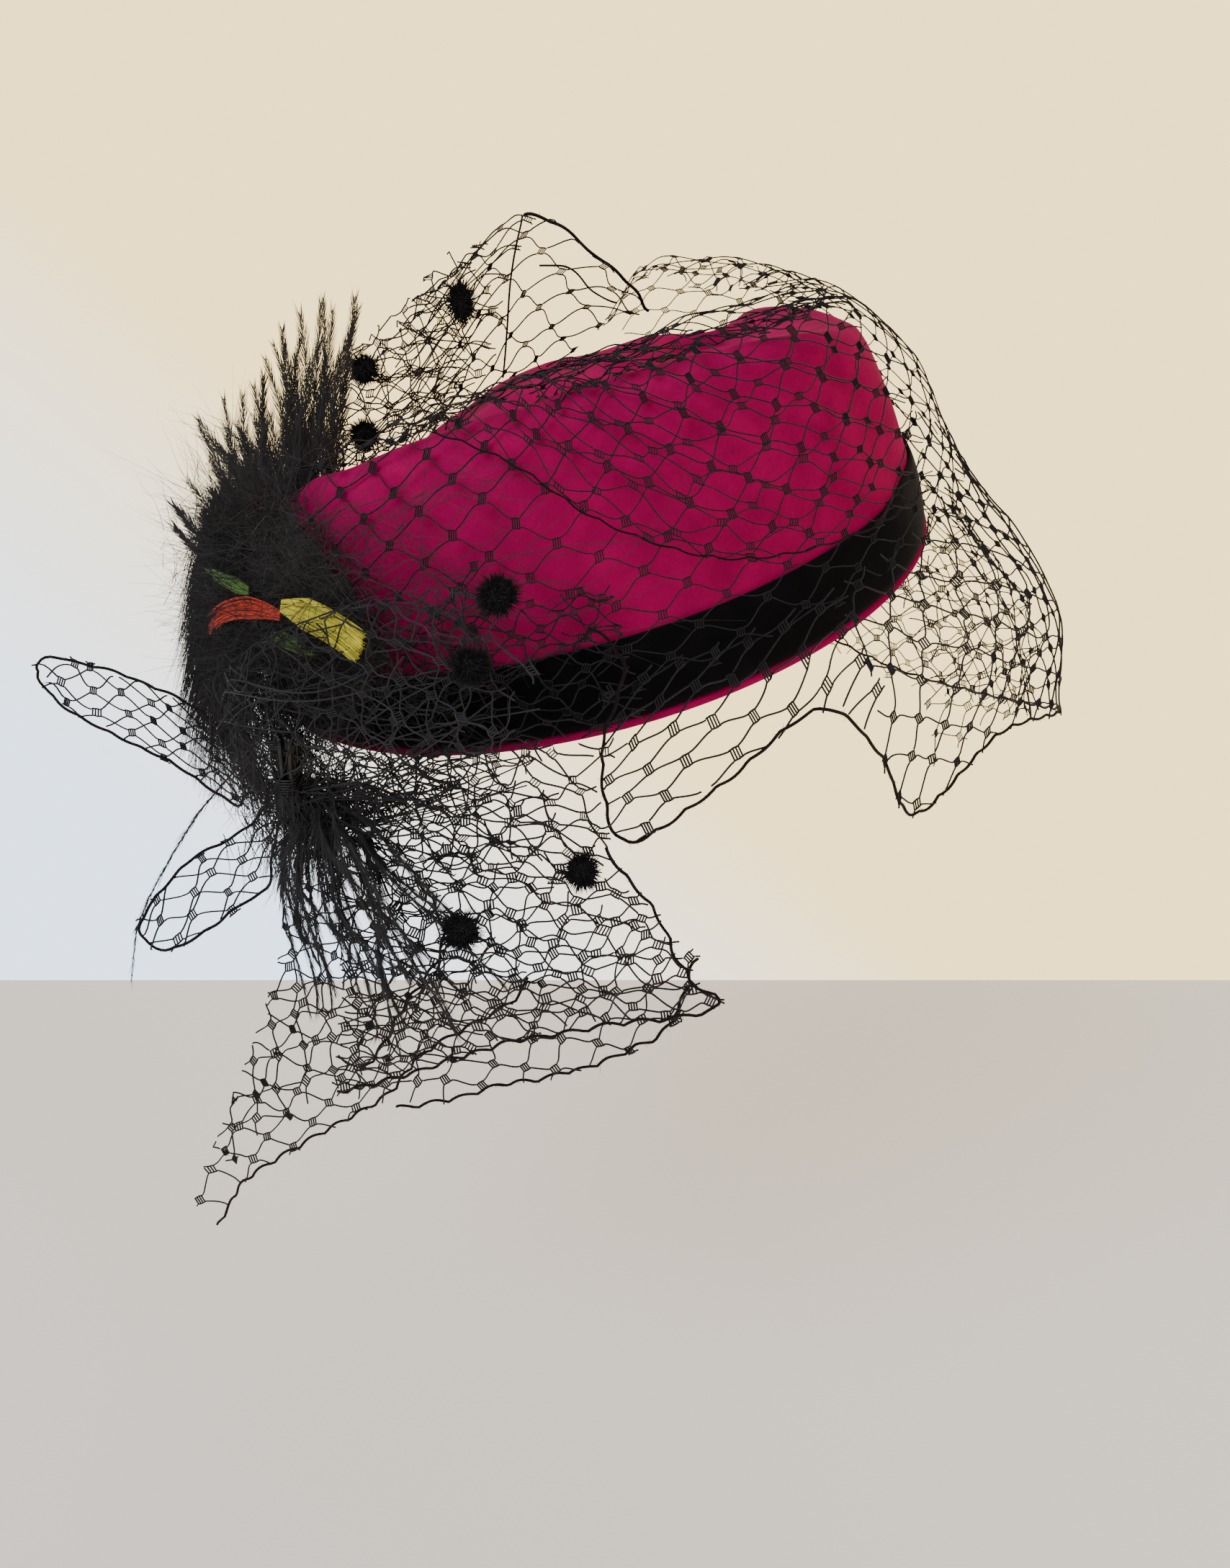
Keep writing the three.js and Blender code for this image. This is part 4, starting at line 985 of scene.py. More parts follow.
def felt_crown(thickness):
    """The blocked crown: outside, turned edge and inside as one closed shell."""
    turns = -180 + np.arange(TURNS) * 360 / TURNS
    steps = np.concatenate([np.linspace(0, 1.3, WALL_STEPS), np.linspace(1.33, 1.96, TOP_STEPS)])
    t, k = np.meshgrid(turns, steps)
    outside = crown_point(t, k)
    normals = crown_normal(t, k)
    hand = Drift(11, 30.0)
    wave = 0.3 * hand(t * 1.6, k * 70) * np.clip(k, 0, 1)
    outside = outside + normals * wave[..., None]
    inside = outside - normals * thickness
    radial = np.stack([np.cos(np.radians(turns)), np.sin(np.radians(turns)), 0 * turns], -1)
    rim = crown_point(turns, 0 * turns)
    lips = np.stack([rim + radial * out + (0, 0, drop) for out, drop in TURNED_EDGE])
    shell = np.concatenate([inside[::-1], lips, outside])
    made = Strands()
    made.grid(worn(shell), ring=True)
    rows, columns = len(shell), TURNS
    half = TURNS // 2
    for row, flip in ((0, True), (rows - 1, False)):
        j = np.arange(1, half - 1)
        a, b = row * columns + j, row * columns + TURNS - j
        quads = np.stack([a, a + 1, b - 1, b], -1)
        ends = np.array([[0, 1, TURNS - 1], [half - 1, half, half + 1]]) + row * columns
        made.quads.append(quads[:, ::-1] if flip else quads)
        made.tris.append(ends[:, ::-1] if flip else ends)
    return made


def velvet_band():
    """The ribbon laid round the foot of the wall, a closed strip with soft edges."""
    turns = -180 + np.arange(BAND_TURNS) * 360 / BAND_TURNS
    across = np.linspace(0, 1, 11)
    t, a = np.meshgrid(turns, across)
    step = 0.003 + 0.247 * a
    ease = Drift(5, 40.0)
    loose = 0.25 * ease(t * 1.6, a * 20)
    belly = np.clip(np.sin(np.pi * np.clip(a, 0.02, 0.98)), 0, 1) ** 0.35
    normals = crown_normal(t, step)
    base = crown_point(t, step)
    back = base + normals * BAND["gap"]
    front = base + normals * (BAND["gap"] + (BAND["thickness"] - 0.1 + loose) * belly)[..., None]
    made = Strands()
    made.grid(worn(np.concatenate([back[::-1], front])), ring=True, tube=True)
    return made


def dot(strands, core, centre, width, height, rng, fibres):
    """A chenille dot: a dark knot with cut pile standing out all round. The knot is darker than the pile as
    painted shade among the fibres.
    """
    out = unit(rng.normal(size=(fibres, 3)))
    size = np.array([width, width, height], float)
    lean = unit(out + 0.35 * rng.normal(size=out.shape))
    base = centre + out * size * 0.35
    reach = (size.mean() * rng.uniform(0.45, 0.88, fibres))[:, None]
    q = np.array([0, 0.55, 1.0])
    bend = unit(rng.normal(size=out.shape)) * 0.18
    stretch = size / size.mean()
    fibre = lean[:, None] * q[None, :, None] + bend[:, None] * (q**2)[None, :, None]
    path = base[:, None] + fibre * stretch * reach[:, None]
    strands.ribbons(path, (0.1, -1, 0.3), np.array([0.11, 0.09, 0.03]))
    turn, tilt = np.meshgrid(np.linspace(0, 2 * np.pi, 13), np.linspace(-np.pi / 2, np.pi / 2, 9))
    ball = np.stack([np.cos(turn) * np.cos(tilt), np.sin(turn) * np.cos(tilt), np.sin(tilt)], -1)
    core.grid(centre + ball * size * 0.62)


def face_veil():
    """The front veil: open diamonds over the crown, and the skirt below the band with its corded hem."""
    strands, cords = Strands(), Strands()
    drape = Drape(face_sections(), 0.5)
    over_crown = []
    for turn, _, _, _, near, far, reach, over in FACE_FOLDS:
        steps = (0.1, 0.4, 0.7, 1 if reach > 1 else 0.93, reach)
        offs = (near, near * 0.7 + far * 0.3, near * 0.3 + far * 0.7, far, over)
        over_crown.append([on_hat(turn, step, off) for step, off in zip(steps, offs)])
    # Where each fold's foot stands: its u, taken evenly by turn, and its step on the wall.
    first, last = FACE_FOLDS[0][0], FACE_FOLDS[-1][0]
    feet = [(fold[0] - first) / (last - first) for fold in FACE_FOLDS], [fold[3] for fold in FACE_FOLDS]

    def above_foot(u, v):
        return v > (np.interp(u, *feet) - 0.12) / 1.2

    # Over the felt: one open layer, and two cut ends that lie slanting at its top.
    crown_part = Drape(over_crown, 0.4)
    Net(
        crown_part, 21, cell=(16.5, 9.6), crumple=0.9, wave=46, keep=above_foot, raw=True, phase=0.3,
        thread=0.2, bar=0.22, opens=0.45,
    ).weave(strands)
    Net(
        crown_part, 27, cell=(14, 9.5), lift=-1.5, slant=11, crumple=1.6, wave=22,
        keep=lambda u, v: (v > 0.74) & (u > 0.62), thread=0.19, loose=0.9,
    ).weave(strands)
    Net(
        crown_part, 28, cell=(13, 9.5), lift=-3.0, slant=-16, crumple=2.4, wave=20,
        keep=lambda u, v: (v > 0.72) & (u > 0.3) & (u < 0.66), thread=0.19, loose=1.0,
    ).weave(strands)
    # Below the band: over the brow, round the wearer's left, and round the right behind the feathers.
    front, round_side = upright_chart(drape, 36, 0.68), hat_chart(drape)
    skirt = Net(
        front, 22, cell=(18, 6.6), thread=0.29, bar=0.28, knot=1.2, loose=0.35, crumple=1.2, wave=32,
        keep=lambda u, v: (v < 0.42) & (u > 0.29) & (u < 0.545), phase=0.3,
    )
    skirt.weave(strands)
    Net(
        round_side, 25, cell=(14.5, 12.5), thread=0.28, knot=1.2, bar=0.27, crumple=1.5, wave=32,
        keep=lambda u, v: (v < 0.42) & (u > 0.54), phase=0.3,
    ).weave(strands)
    Net(
        round_side, 23, cell=(15, 10), crumple=1.5, keep=lambda u, v: (v < 0.42) & (u < 0.22), phase=0.1
    ).weave(strands)
    # Across the band, where the crown's layer is drawn down into the gather.
    on_band = ((0.0, 3.4), (0.12, 4.2), (0.28, 4.0), (0.44, 3.4))
    turns = np.linspace(-126, -93, 7)
    joining = Drape([[on_hat(turn, step, off) for step, off in on_band] for turn in turns], 0.5)
    Net(
        joining, 34, cell=(14, 9.5), slant=8, crumple=1.6, wave=22, raw=True, phase=0.2, loose=0.8
    ).weave(strands)
    Net(
        joining, 35, cell=(13, 9), lift=1.5, slant=-24, crumple=2.4, wave=18, raw=True, loose=1.0
    ).weave(strands)
    # A finer layer behind the skirt at the wearer's left.
    Net(
        round_side, 24, cell=(14, 10), lift=-9, crumple=3.0, thread=0.19, bar=0.16, wave=24,
        keep=lambda u, v: (v < 0.36) & (u > 0.62),
    ).weave(strands)
    hem = [(u, 0.0) for u in np.linspace(0.21, 1.0, 40)]
    corded_edge(skirt, cords, hem, ripple=0.9)
    return strands, cords


def crown_layer():
    """The second layer on the crown with its cut edge, and the bunch that runs along the ridge."""
    strands, cords = Strands(), Strands()
    drape = Drape(crown_layer_sections(), 0.3)
    net = Net(
        drape, 31, cell=(16, 10), crumple=1.6, wave=22, phase=0.4, raw=True, slant=-7, thread=0.19, bar=0.2,
        loose=0.9,
    )
    net.weave(strands)
    corded_edge(net, cords, [(0.02, 0.0), (0.5, 0.0), (0.98, 0.0)], radius=0.24, fuzz=0.8, ripple=0.7)
    on_ridge = ((0.97, 3.5), (1.1, 5), (1.25, 6.5), (1.38, 7.5))
    turns = np.linspace(-152, -58, 9)
    bunch = Drape([[on_hat(turn, step, off) for step, off in on_ridge] for turn in turns], 0.5)
    Net(bunch, 33, cell=(15, 8), crumple=2.4, wave=16, raw=True, phase=0.2, thread=0.22).weave(strands)
    return strands, cords


def crown_puff():
    """The standing fold: one open layer, denser ones at the wearer's right, and its corded edges."""
    strands, cords = Strands(), Strands()
    drape = Drape(puff_sections(), 0.5)
    net = Net(
        drape, 41, cell=(18, 12), crumple=2.2, wave=26, keep=lambda u, v: (u > 0.3) & ((u < 0.6) | (v < 0.5)),
        raw=True,
    )
    net.weave(strands)
    front, back = (0.02, 0.5), (0.5, 0.98)
    # Part of the fold, angle of the rows, cell, lift, how far to the left.
    layers = [
        (front, 8, (13, 9.5), 0.0, 0.56),
        (front, 52, (12, 9), 3.0, 0.5),
        (back, -14, (14, 10), 0.0, 0.5),
        (front, -34, (13, 10), -2.5, 0.4),
    ]
    for k, (rows, rise, cell, lift, reach) in enumerate(layers):
        right_part = ragged(142 + k, reach, 0.1, 0.5)

        def kept(u, v, right_part=right_part, rows=rows):
            return right_part(u, v) & (v > rows[0]) & (v < rows[1])

        chart = upright_chart(drape, rise, 0.75, rows)
        Net(
            chart, 42 + k, cell=cell, lift=lift, crumple=3.0, wave=18, keep=kept, loose=1.0, phase=0.3 * k
        ).weave(strands)
    crest = [(0.571, 0.5), (0.7, 0.49), (0.8, 0.5), (0.9, 0.5), (1, 0.5)]
    corded_edge(net, cords, crest, radius=0.5, ripple=1.2)
    corded_edge(net, cords, [(0.571, 0.5), (0.59, 0.35), (0.62, 0.2), (0.66, 0.02)], 0.3)
    corded_edge(net, cords, [(0.66, 0.32), (0.75, 0.36), (0.85, 0.33), (0.95, 0.35)], 0.3)
    return strands, cords


def hung(rows, seed, layers, edges, reach=1.0, before=0.0):
    """A hanging end: layers are (row angle, cell, lift, crumple, keep), edges the corded lines on it."""
    strands, cords = Strands(), Strands()
    drape = Drape(rows, 0.8)
    for k, (rise, cell, lift, crumple, keep) in enumerate(layers):
        net = Net(
            upright_chart(drape, rise, reach), seed + k, cell=cell, lift=lift, crumple=crumple, wave=22,
            keep=keep, phase=0.37 * k, loose=0.7, before=before, thread=0.28, bar=0.27, knot=1.25,
        )
        net.weave(strands)
        if not k:
            for line in edges:
                corded_edge(net, cords, line, ripple=1.3)
    return strands, cords


def loop(stations, seed, gap):
    """A flattened loop of veiling: two layers joined at the tip."""
    strands, cords = Strands(), Strands()
    drape = Drape(loop_sections(stations), 0.5)
    for k, lift in enumerate((gap, -gap)):
        net = Net(
            drape, seed + k, cell=(19, 12), lift=lift, crumple=1.0, wave=30, phase=0.5 * k, raw=True,
            thread=0.29, bar=0.26, knot=1.15,
        )
        net.weave(strands)
        if not k:
            there = [(0.02, 0.0), (0.35, 0.0), (0.7, 0.0), (0.9, 0.08)]
            back = [(u, 1 - v) for u, v in there[::-1]]
            corded_edge(net, cords, [*there, (1.0, 0.5), *back], ripple=0.5)
    return strands, cords


def gather():
    """The veiling bunched over the feather base: four slanting layers, and threads drawn round towards the
    tie."""
    strands = Strands()
    drape = Drape(GATHER_FOLDS, 0.5)
    layers = [((15, 10), -2.5, 6), ((14, 9), 0.0, -28), ((15, 10.5), 2.0, 36), ((13, 10), 3.4, -58)]
    for k, (cell, lift, rise) in enumerate(layers):
        Net(
            upright_chart(drape, rise), 71 + k, cell=cell, lift=lift, crumple=3.0, wave=17, loose=1.1,
            past=0.1 + 0.06 * k, before=0.1, phase=0.17 * k, thread=0.24,
            keep=ragged(170 + k, 0.8 + 0.06 * k, 0.18, 0.3),
        ).weave(strands)
    rng = np.random.default_rng(79)
    q = np.linspace(0, 1, 26)
    for k in range(DRAWN_THREADS):
        start, end = rng.uniform(-0.22, 0.1), rng.uniform(0.45, 1.0)
        low, high = rng.uniform(-0.3, 0.35), rng.uniform(-0.15, 0.75)
        if k >= LOW_THREADS:
            start, end, low, high = start - 0.05, end - 0.25, low + 0.85, high + 0.55
        u = start + (end - start) * q
        v = low + (high - low) * q**1.3 + rng.normal(0, 0.05) * np.sin(np.pi * q * rng.uniform(1, 3))
        off = rng.uniform(1.5, 5.5) * np.sin(np.pi * (0.1 + 0.8 * q))
        path = drape.at(u, v) + drape.normal(u, v) * off[:, None]
        strands.tubes(path[None], (0, -1, 0.3), 0.24)
    return strands


def neck_of_veil():
    """The veiling that streams out of the tie under the band, three layers deep."""
    strands = Strands()
    drape = Drape(NECK_FOLDS, 0.5)
    layers = [((15, 10), 0.0, 8), ((16, 10), 1.5, -32), ((14, 10), -1.5, 55)]
    for k, (cell, lift, rise) in enumerate(layers):
        Net(
            upright_chart(drape, rise), 191 + k, cell=cell, lift=lift, crumple=3.0, wave=20, loose=1.0,
            past=0.25, before=0.2, phase=0.31 * k, thread=0.28,
            keep=ragged(190 + k, 1.05 - 0.12 * k, 0.2, 0.3),
        ).weave(strands)
    return strands


def tie():
    """Veiling wound tight round its own neck."""
    strands = Strands()
    rng = np.random.default_rng(81)
    a, b = (np.array(p, float) for p in TIE)
    ahead = unit(b - a)
    side = unit(np.cross(ahead, (0, 0, 1)))
    up = np.cross(side, ahead)
    length = np.linalg.norm(b - a)
    for _ in range(WINDINGS):
        start, run = rng.uniform(-2, length * 0.8), rng.uniform(8, 26)
        turn, sweep = rng.uniform(0, 2 * np.pi), rng.uniform(1.2, 5.2) * rng.choice([-1, 1])
        q = np.linspace(0, 1, 14)
        at = np.clip((start + run * q) / length, -0.05, 1.05)
        swell = np.sqrt(np.clip(np.sin(np.pi * np.clip(at, 0.08, 0.92)), 0.12, 1))
        wide = TIE_RADIUS * swell * rng.uniform(0.82, 1.02)
        angle = turn + sweep * q
        path = a + ahead * (at * length)[:, None]
        path = path + side * (np.cos(angle) * wide)[:, None] + up * (np.sin(angle) * wide)[:, None]
        strands.tubes(path[None], (0, -1, 0.3), rng.uniform(0.15, 0.26))
    return strands


# ---- Feather spray ----
# How many there are of each: barbs in the flue, hackles, spiky tips above them, loose barbs at the hackles'
# feet, barbs and whole feathers in the fringe, stripped feathers below the tie, and matted barbs round
# their stems.
FLUE, HACKLES, SPIKES, HACKLE_FLUFF = 2300, 84, 11, 1500
FRINGE, FRINGE_FEATHERS, STRIPPED, STEM_FLUFF = 5200, 9, 24, 1900
# The pad of flue: turns, steps and stand-off from the felt.
PAD = {"from": -168, "to": -120, "low": 0.06, "high": 0.86, "inner": 6.5, "outer": 15}
# Hackles, from the front one to the outer one: root, tip.
HACKLE_TIPS = [
    ((-76, -60, 16), (-62, -30, 78)), ((-78, -60, 16), (-71, -30, 83)), ((-80, -60, 14), (-81, -32, 69)),
    ((-82, -60, 13), (-89, -33, 66)), ((-84, -59, 11), (-95, -34, 51)), ((-85, -59, 10), (-101, -35, 50)),
    ((-87, -58, 8), (-105, -38, 39)), ((-88, -57, 6), (-107, -40, 27)), ((-89, -56, 5), (-111, -42, 21)),
]
# Side fringe and lower plume, a row for each fold: root, middle, end.
FRINGE_FOLDS = [
    ((-107, -24, 22), (-114, -26, 6), (-120, -28, -14)),
    ((-104, -28, 14), (-112, -31, -8), (-121, -31, -36)),
    ((-101, -32, 6), (-108, -35, -20), (-116, -34, -50)),
    ((-98, -37, -4), (-104, -38, -28), (-104, -37, -56)),
]
PLUME_DOWN_FOLDS = [
    ((-82, -77, -48), (-81, -87, -62), (-79, -94, -81)),
    ((-75, -79, -46), (-73, -92, -66), (-66, -99, -88)),
    ((-67, -84, -44), (-62, -97, -68), (-48, -105, -95)),
    ((-59, -89, -41), (-52, -100, -60), (-38, -108, -86)),
    ((-51, -93, -39), (-44, -103, -52), (-30, -111, -64)),
]
QUILL = {"top": (-77, -84, -24), "bottom": (-79, -80, -50), "count": 11, "wrap": 3.6, "rounds": 7}
# Coloured feathers: base, middle, tip, half width.
VANES = {
    "yellow": ((-73.4, -82.6, 8.9), (-62.7, -85.2, 6.9), (-51.5, -96.4, 1.4), 4.0),
    "red": ((-73.8, -82.6, 6.5), (-90.8, -69, 9.5), (-102, -52, -5), 3.2),
    "green_upper": ((-83.3, -74.4, 11), (-89.9, -68.6, 11.6), (-102, -48, 12), 2.4),
    "green_lower": ((-76.5, -80.2, 1), (-71.3, -82, -0.8), (-64.6, -90, -1.4), 2.4),
}
# One thin feather that swings out on its own.
LONE_STRAND = [
    (-103, -44, -46), (-115, -48, -59), (-123, -52, -71), (-130, -56, -83), (-134, -58, -92),
    (-137, -60, -108),
]
# Chenille dots: centre, half width, half height.
DOTS = [
    ((-38.6, 0.7, 80.4), 4.2, 6.2), ((-66.5, -5.9, 62.2), 4.6, 4.6), ((-66.9, -10.4, 44), 4.6, 4.6),
    ((-20.2, -107.6, 16.1), 5, 4.8), ((-26.7, -109.9, 0.5), 4.8, 4.6), ((-1.9, -112.3, -49.2), 4.6, 4.8),
    ((-30.7, -117.5, -62.4), 5, 5),
]


def pad_place(across, up, depth):
    """A point in the flue pad: across and up from 0 to 1, depth 0 at the felt side and 1 outside."""
    belly = np.sqrt(np.sin(np.pi * (0.06 + 0.88 * across)) * np.sin(np.pi * (0.1 + 0.8 * up)))
    off = PAD["inner"] + (PAD["outer"] - PAD["inner"]) * belly * depth
    turn = PAD["from"] + (PAD["to"] - PAD["from"]) * across
    return on_hat(turn, PAD["low"] + (PAD["high"] - PAD["low"]) * up, off)


def pad_patch(angle, far):
    """A rounded patch of the pad, leaning towards the front at its foot."""
    across, up = 0.5 + 0.5 * far * np.cos(angle), 0.5 + 0.5 * far * np.sin(angle)
    return across * (1 - 0.22 * up), up


def flue_pad():
    """Soft black flue over the feather bases: a matted core, and short curled barbs all over it. The core is
    near black, darker than the barbs, as painted shade deep in the pad.
    """
    core, strands = Strands(), Strands()
    rng = np.random.default_rng(91)
    lumps = Drift(92, 0.35)
    angle, far = np.meshgrid(np.linspace(0, 2 * np.pi, 48, endpoint=False), np.linspace(0.02, 1, 20))
    a, u = pad_patch(angle, far * (0.86 + 0.12 * lumps(np.cos(angle), np.sin(angle))))
    core.grid(pad_place(a, u, (0.85 + 0.25 * lumps(a, u)) * np.sqrt(1.05 - far**2)), ring=True)
    n = FLUE
    a, u = pad_patch(rng.uniform(0, 2 * np.pi, n), np.sqrt(rng.uniform(0, 1, n)) * 0.98)
    base = pad_place(a, u, 0.6)
    out = unit(pad_place(a, u, 1.0) - pad_place(a, u, 0.0) + 0.4)
    out = unit(out + 0.9 * rng.normal(size=out.shape) + (0.1, -0.2, 0.1))
    fluff(strands, base, out, rng, rng.uniform(7, 19, n), width=0.12, curl=0.75, points=6)
    return core, strands


def felt_hairs(strands, rng, count):
    """Long single barbs that leave the pad and lie over the felt and the band towards the front."""
    turn = rng.uniform(-150, -118, count)
    step = rng.beta(1.5, 1.6, count) * 0.82 + 0.02
    sweep = rng.gamma(4.0, 6.0, count).clip(8, 46)
    rise = rng.normal(0.03, 0.13, count)
    bow = rng.normal(0.05, 0.16, count)
    q = np.linspace(0, 1, 12)
    turns = turn[:, None] + sweep[:, None] * q
    steps = (step[:, None] + rise[:, None] * q + bow[:, None] * np.sin(np.pi * q)).clip(-0.02, 1.05)
    off = rng.uniform(6, 10, count)[:, None] * (1 - 0.25 * q)
    off = off + rng.normal(0, 1.4, count)[:, None] * np.sin(2.6 * np.pi * q + 1)
    path = on_hat(turns, steps, off)
    strands.ribbons(path, (0.1, -1, 0.25), 0.10 * (1 - 0.6 * q))


def plume_up():
    """Black hackles fanned upright against the crown, with spiky tips and loose barbs at their feet."""
    strands = Strands()
    rng = np.random.default_rng(95)
    facing = (0.1, -1.0, 0.25)
    q = np.linspace(0, 1, 26)
    fan = np.array(HACKLE_TIPS, float)
    for k in range(HACKLES):
        f = (len(fan) - 1.001) * (k + rng.uniform(0, 1)) / HACKLES
        root, tip = fan[int(f)] * (1 - f % 1) + fan[int(f) + 1] * (f % 1)
        a = root + rng.normal(0, 3.4, 3)
        c = tip + rng.normal(0, 3.0, 3)
        c = a + (c - a) * (1 if k % 4 == 0 else rng.uniform(0.5, 0.95))
        lean = np.cross(unit(c - a), (0, -1, 0)) * rng.normal(1.5, 3.0)
        spine = through(a, (a + c) / 2 + lean, c, q)
        reach = np.linalg.norm(c - a)
        Feather(
            strands, spine, rng, facing, barb=rng.uniform(5, 9), spread=24, count=int(reach * 1.7),
            shaft=0.24, bare=0.05, tip=0.35, width=0.085, curl=0.35, loose=0.16,
        )
    # Spiky barbed tips high on the outer side.
    for k in range(SPIKES):
        a = np.array((-82 - 0.9 * k, -62 + 0.9 * k, 17 - 1.6 * k)) + rng.normal(0, 1.5, 3)
        way = unit(np.array((-0.42 - 0.03 * k, 0.3, 0.9 - 0.02 * k)) + rng.normal(0, 0.07, 3))
        c = a + way * rng.uniform(22, 34)
        spine = through(a, (a + c) / 2 + (-1.5, 0, 0.5), c, q)
        Feather(
            strands, spine, rng, facing, barb=4.6, spread=24, count=44, shaft=0.34, bare=0.15, tip=0.6,
            width=0.16, curl=0.3,
        )
    n = HACKLE_FLUFF
    base = np.array([-84, -58, 14]) + rng.normal(0, 1, (n, 3)) * (10, 4, 11)
    out = unit(rng.normal(0, 0.5, (n, 3)) + (-0.15, 0.1, 0.8))
    fluff(strands, base, out, rng, rng.uniform(8, 22, n), width=0.075, curl=0.4)
    return strands


def side_fringe():
    """Soft barbs hanging at the outer side, fine enough to look like smoke at the edge."""
    strands = Strands()
    rng = np.random.default_rng(97)
    drape = Drape(FRINGE_FOLDS, 0.5)
    n = FRINGE
    u = rng.uniform(-0.12, 1.3, n)
    start = rng.uniform(-0.6, 0.5, n)
    run = rng.uniform(0.45, 0.8, n)
    q = np.linspace(0, 1, 9)
    v = start[:, None] + run[:, None] * q
    path = drape.at(u[:, None] + 0.06 * rng.normal(size=(n, 1)) * q, v)
    path = path + rng.normal(0, 1.5, (n, 1, 3)) + rng.normal(0, 1.3, (n, 1, 3)) * (q**2)[None, :, None]
    strands.ribbons(path, (0.2, -1, 0.2), 0.085 * (1 - 0.7 * q))
    for _ in range(FRINGE_FEATHERS):
        at = rng.uniform(0, 1)
        spine = drape.at(np.full(20, at), np.linspace(-0.3, rng.uniform(0.8, 1.1), 20))
        spine = spine + rng.normal(0, 1.5, 3)
        Feather(
            strands, spine, rng, (0.2, -1, 0.2), barb=9, spread=20, count=60, shaft=0.14, bare=0.05, tip=0.8,
            width=0.06, curl=0.4, loose=0.25,
        )
    return strands


def plume_down():
    """Thin stripped feathers that fan out below the tie, and one that swings out on its own."""
    strands = Strands()
    rng = np.random.default_rng(99)
    drape = Drape(PLUME_DOWN_FOLDS, 0.5)
    q = np.linspace(0, 1, 24)
    for k in range(STRIPPED):
        u = (k + rng.uniform(0.1, 0.9)) / STRIPPED
        spine = drape.at(np.full(24, u), q * rng.uniform(0.8, 1.2))
        pinched = 0.62 * (1 - q)[:, None] ** 1.5 * (np.array((-72, -82, -44)) - spine[0])
        bow = rng.normal(0, 3.5, 3) * np.sin(np.pi * q * rng.uniform(0.8, 1.6))[:, None]
        spine = spine + pinched + rng.normal(0, 1.2, 3) + bow + rng.normal(0, 3.5, 3) * (q**2)[:, None]
        Feather(
            strands, spine, rng, (0.05, -1, 0.2), barb=rng.uniform(6.0, 10.0), spread=9, count=120,
            shaft=0.34, bare=0.02, tip=0.4, width=0.085, curl=0.15, loose=0.28,
        )
    # Matted barbs round the stems, between the pad and the tie.
    n = STEM_FLUFF
    along = rng.uniform(0, 1, n)
    base = bezier((-82, -70, -6), (-82, -80, -30), (-74, -84, -54), along)
    base = base + rng.normal(0, 1, (n, 3)) * (7.0, 2.5, 3.0)
    out = unit(rng.normal(0, 0.35, (n, 3)) + (0.12, -0.1, -0.8))
    fluff(strands, base, out, rng, rng.uniform(6, 15, n), width=0.13, curl=0.4)
    k = np.linspace(0, 1, len(LONE_STRAND))
    line = np.array(LONE_STRAND, float)
    dense = np.linspace(0, 1, 40)
    spine = np.stack([np.interp(dense, k, line[:, c]) for c in range(3)], -1)
    Feather(
        strands, spine, rng, (0, -1, 0.2), barb=3.2, spread=13, count=110, shaft=0.34, bare=0.0, tip=0.8,
        width=0.09, curl=0.3, loose=0.3,
    )
    return strands


def quills():
    """Bare quills bound together where the spray is tied in."""
    strands = Strands()
    rng = np.random.default_rng(101)
    top, bottom = np.array(QUILL["top"], float), np.array(QUILL["bottom"], float)
    q = np.linspace(0, 1, 12)
    for k in range(QUILL["count"]):
        angle = k * 2.4
        radius = 0.9 * math.sqrt(k)
        spread = np.array([math.cos(angle) * radius, math.sin(angle) * radius, 0])
        path = top + (bottom - top) * q[:, None] + spread * (1 + 0.5 * np.abs(q - 0.45)[:, None])
        strands.tubes(path[None], (0, -1, 0.2), rng.uniform(0.55, 0.85), sides=6, closed_ends=True)
    angle = np.linspace(0, 2 * np.pi * QUILL["rounds"], 150)
    wrap = bottom + (top - bottom) * (0.35 + 0.2 * angle / angle[-1])[:, None]
    wrap = wrap + np.stack([np.cos(angle) * QUILL["wrap"], np.sin(angle) * QUILL["wrap"], 0 * angle], -1)
    strands.tubes(wrap[None], (0, 0, 1), 0.3, sides=5)
    return strands


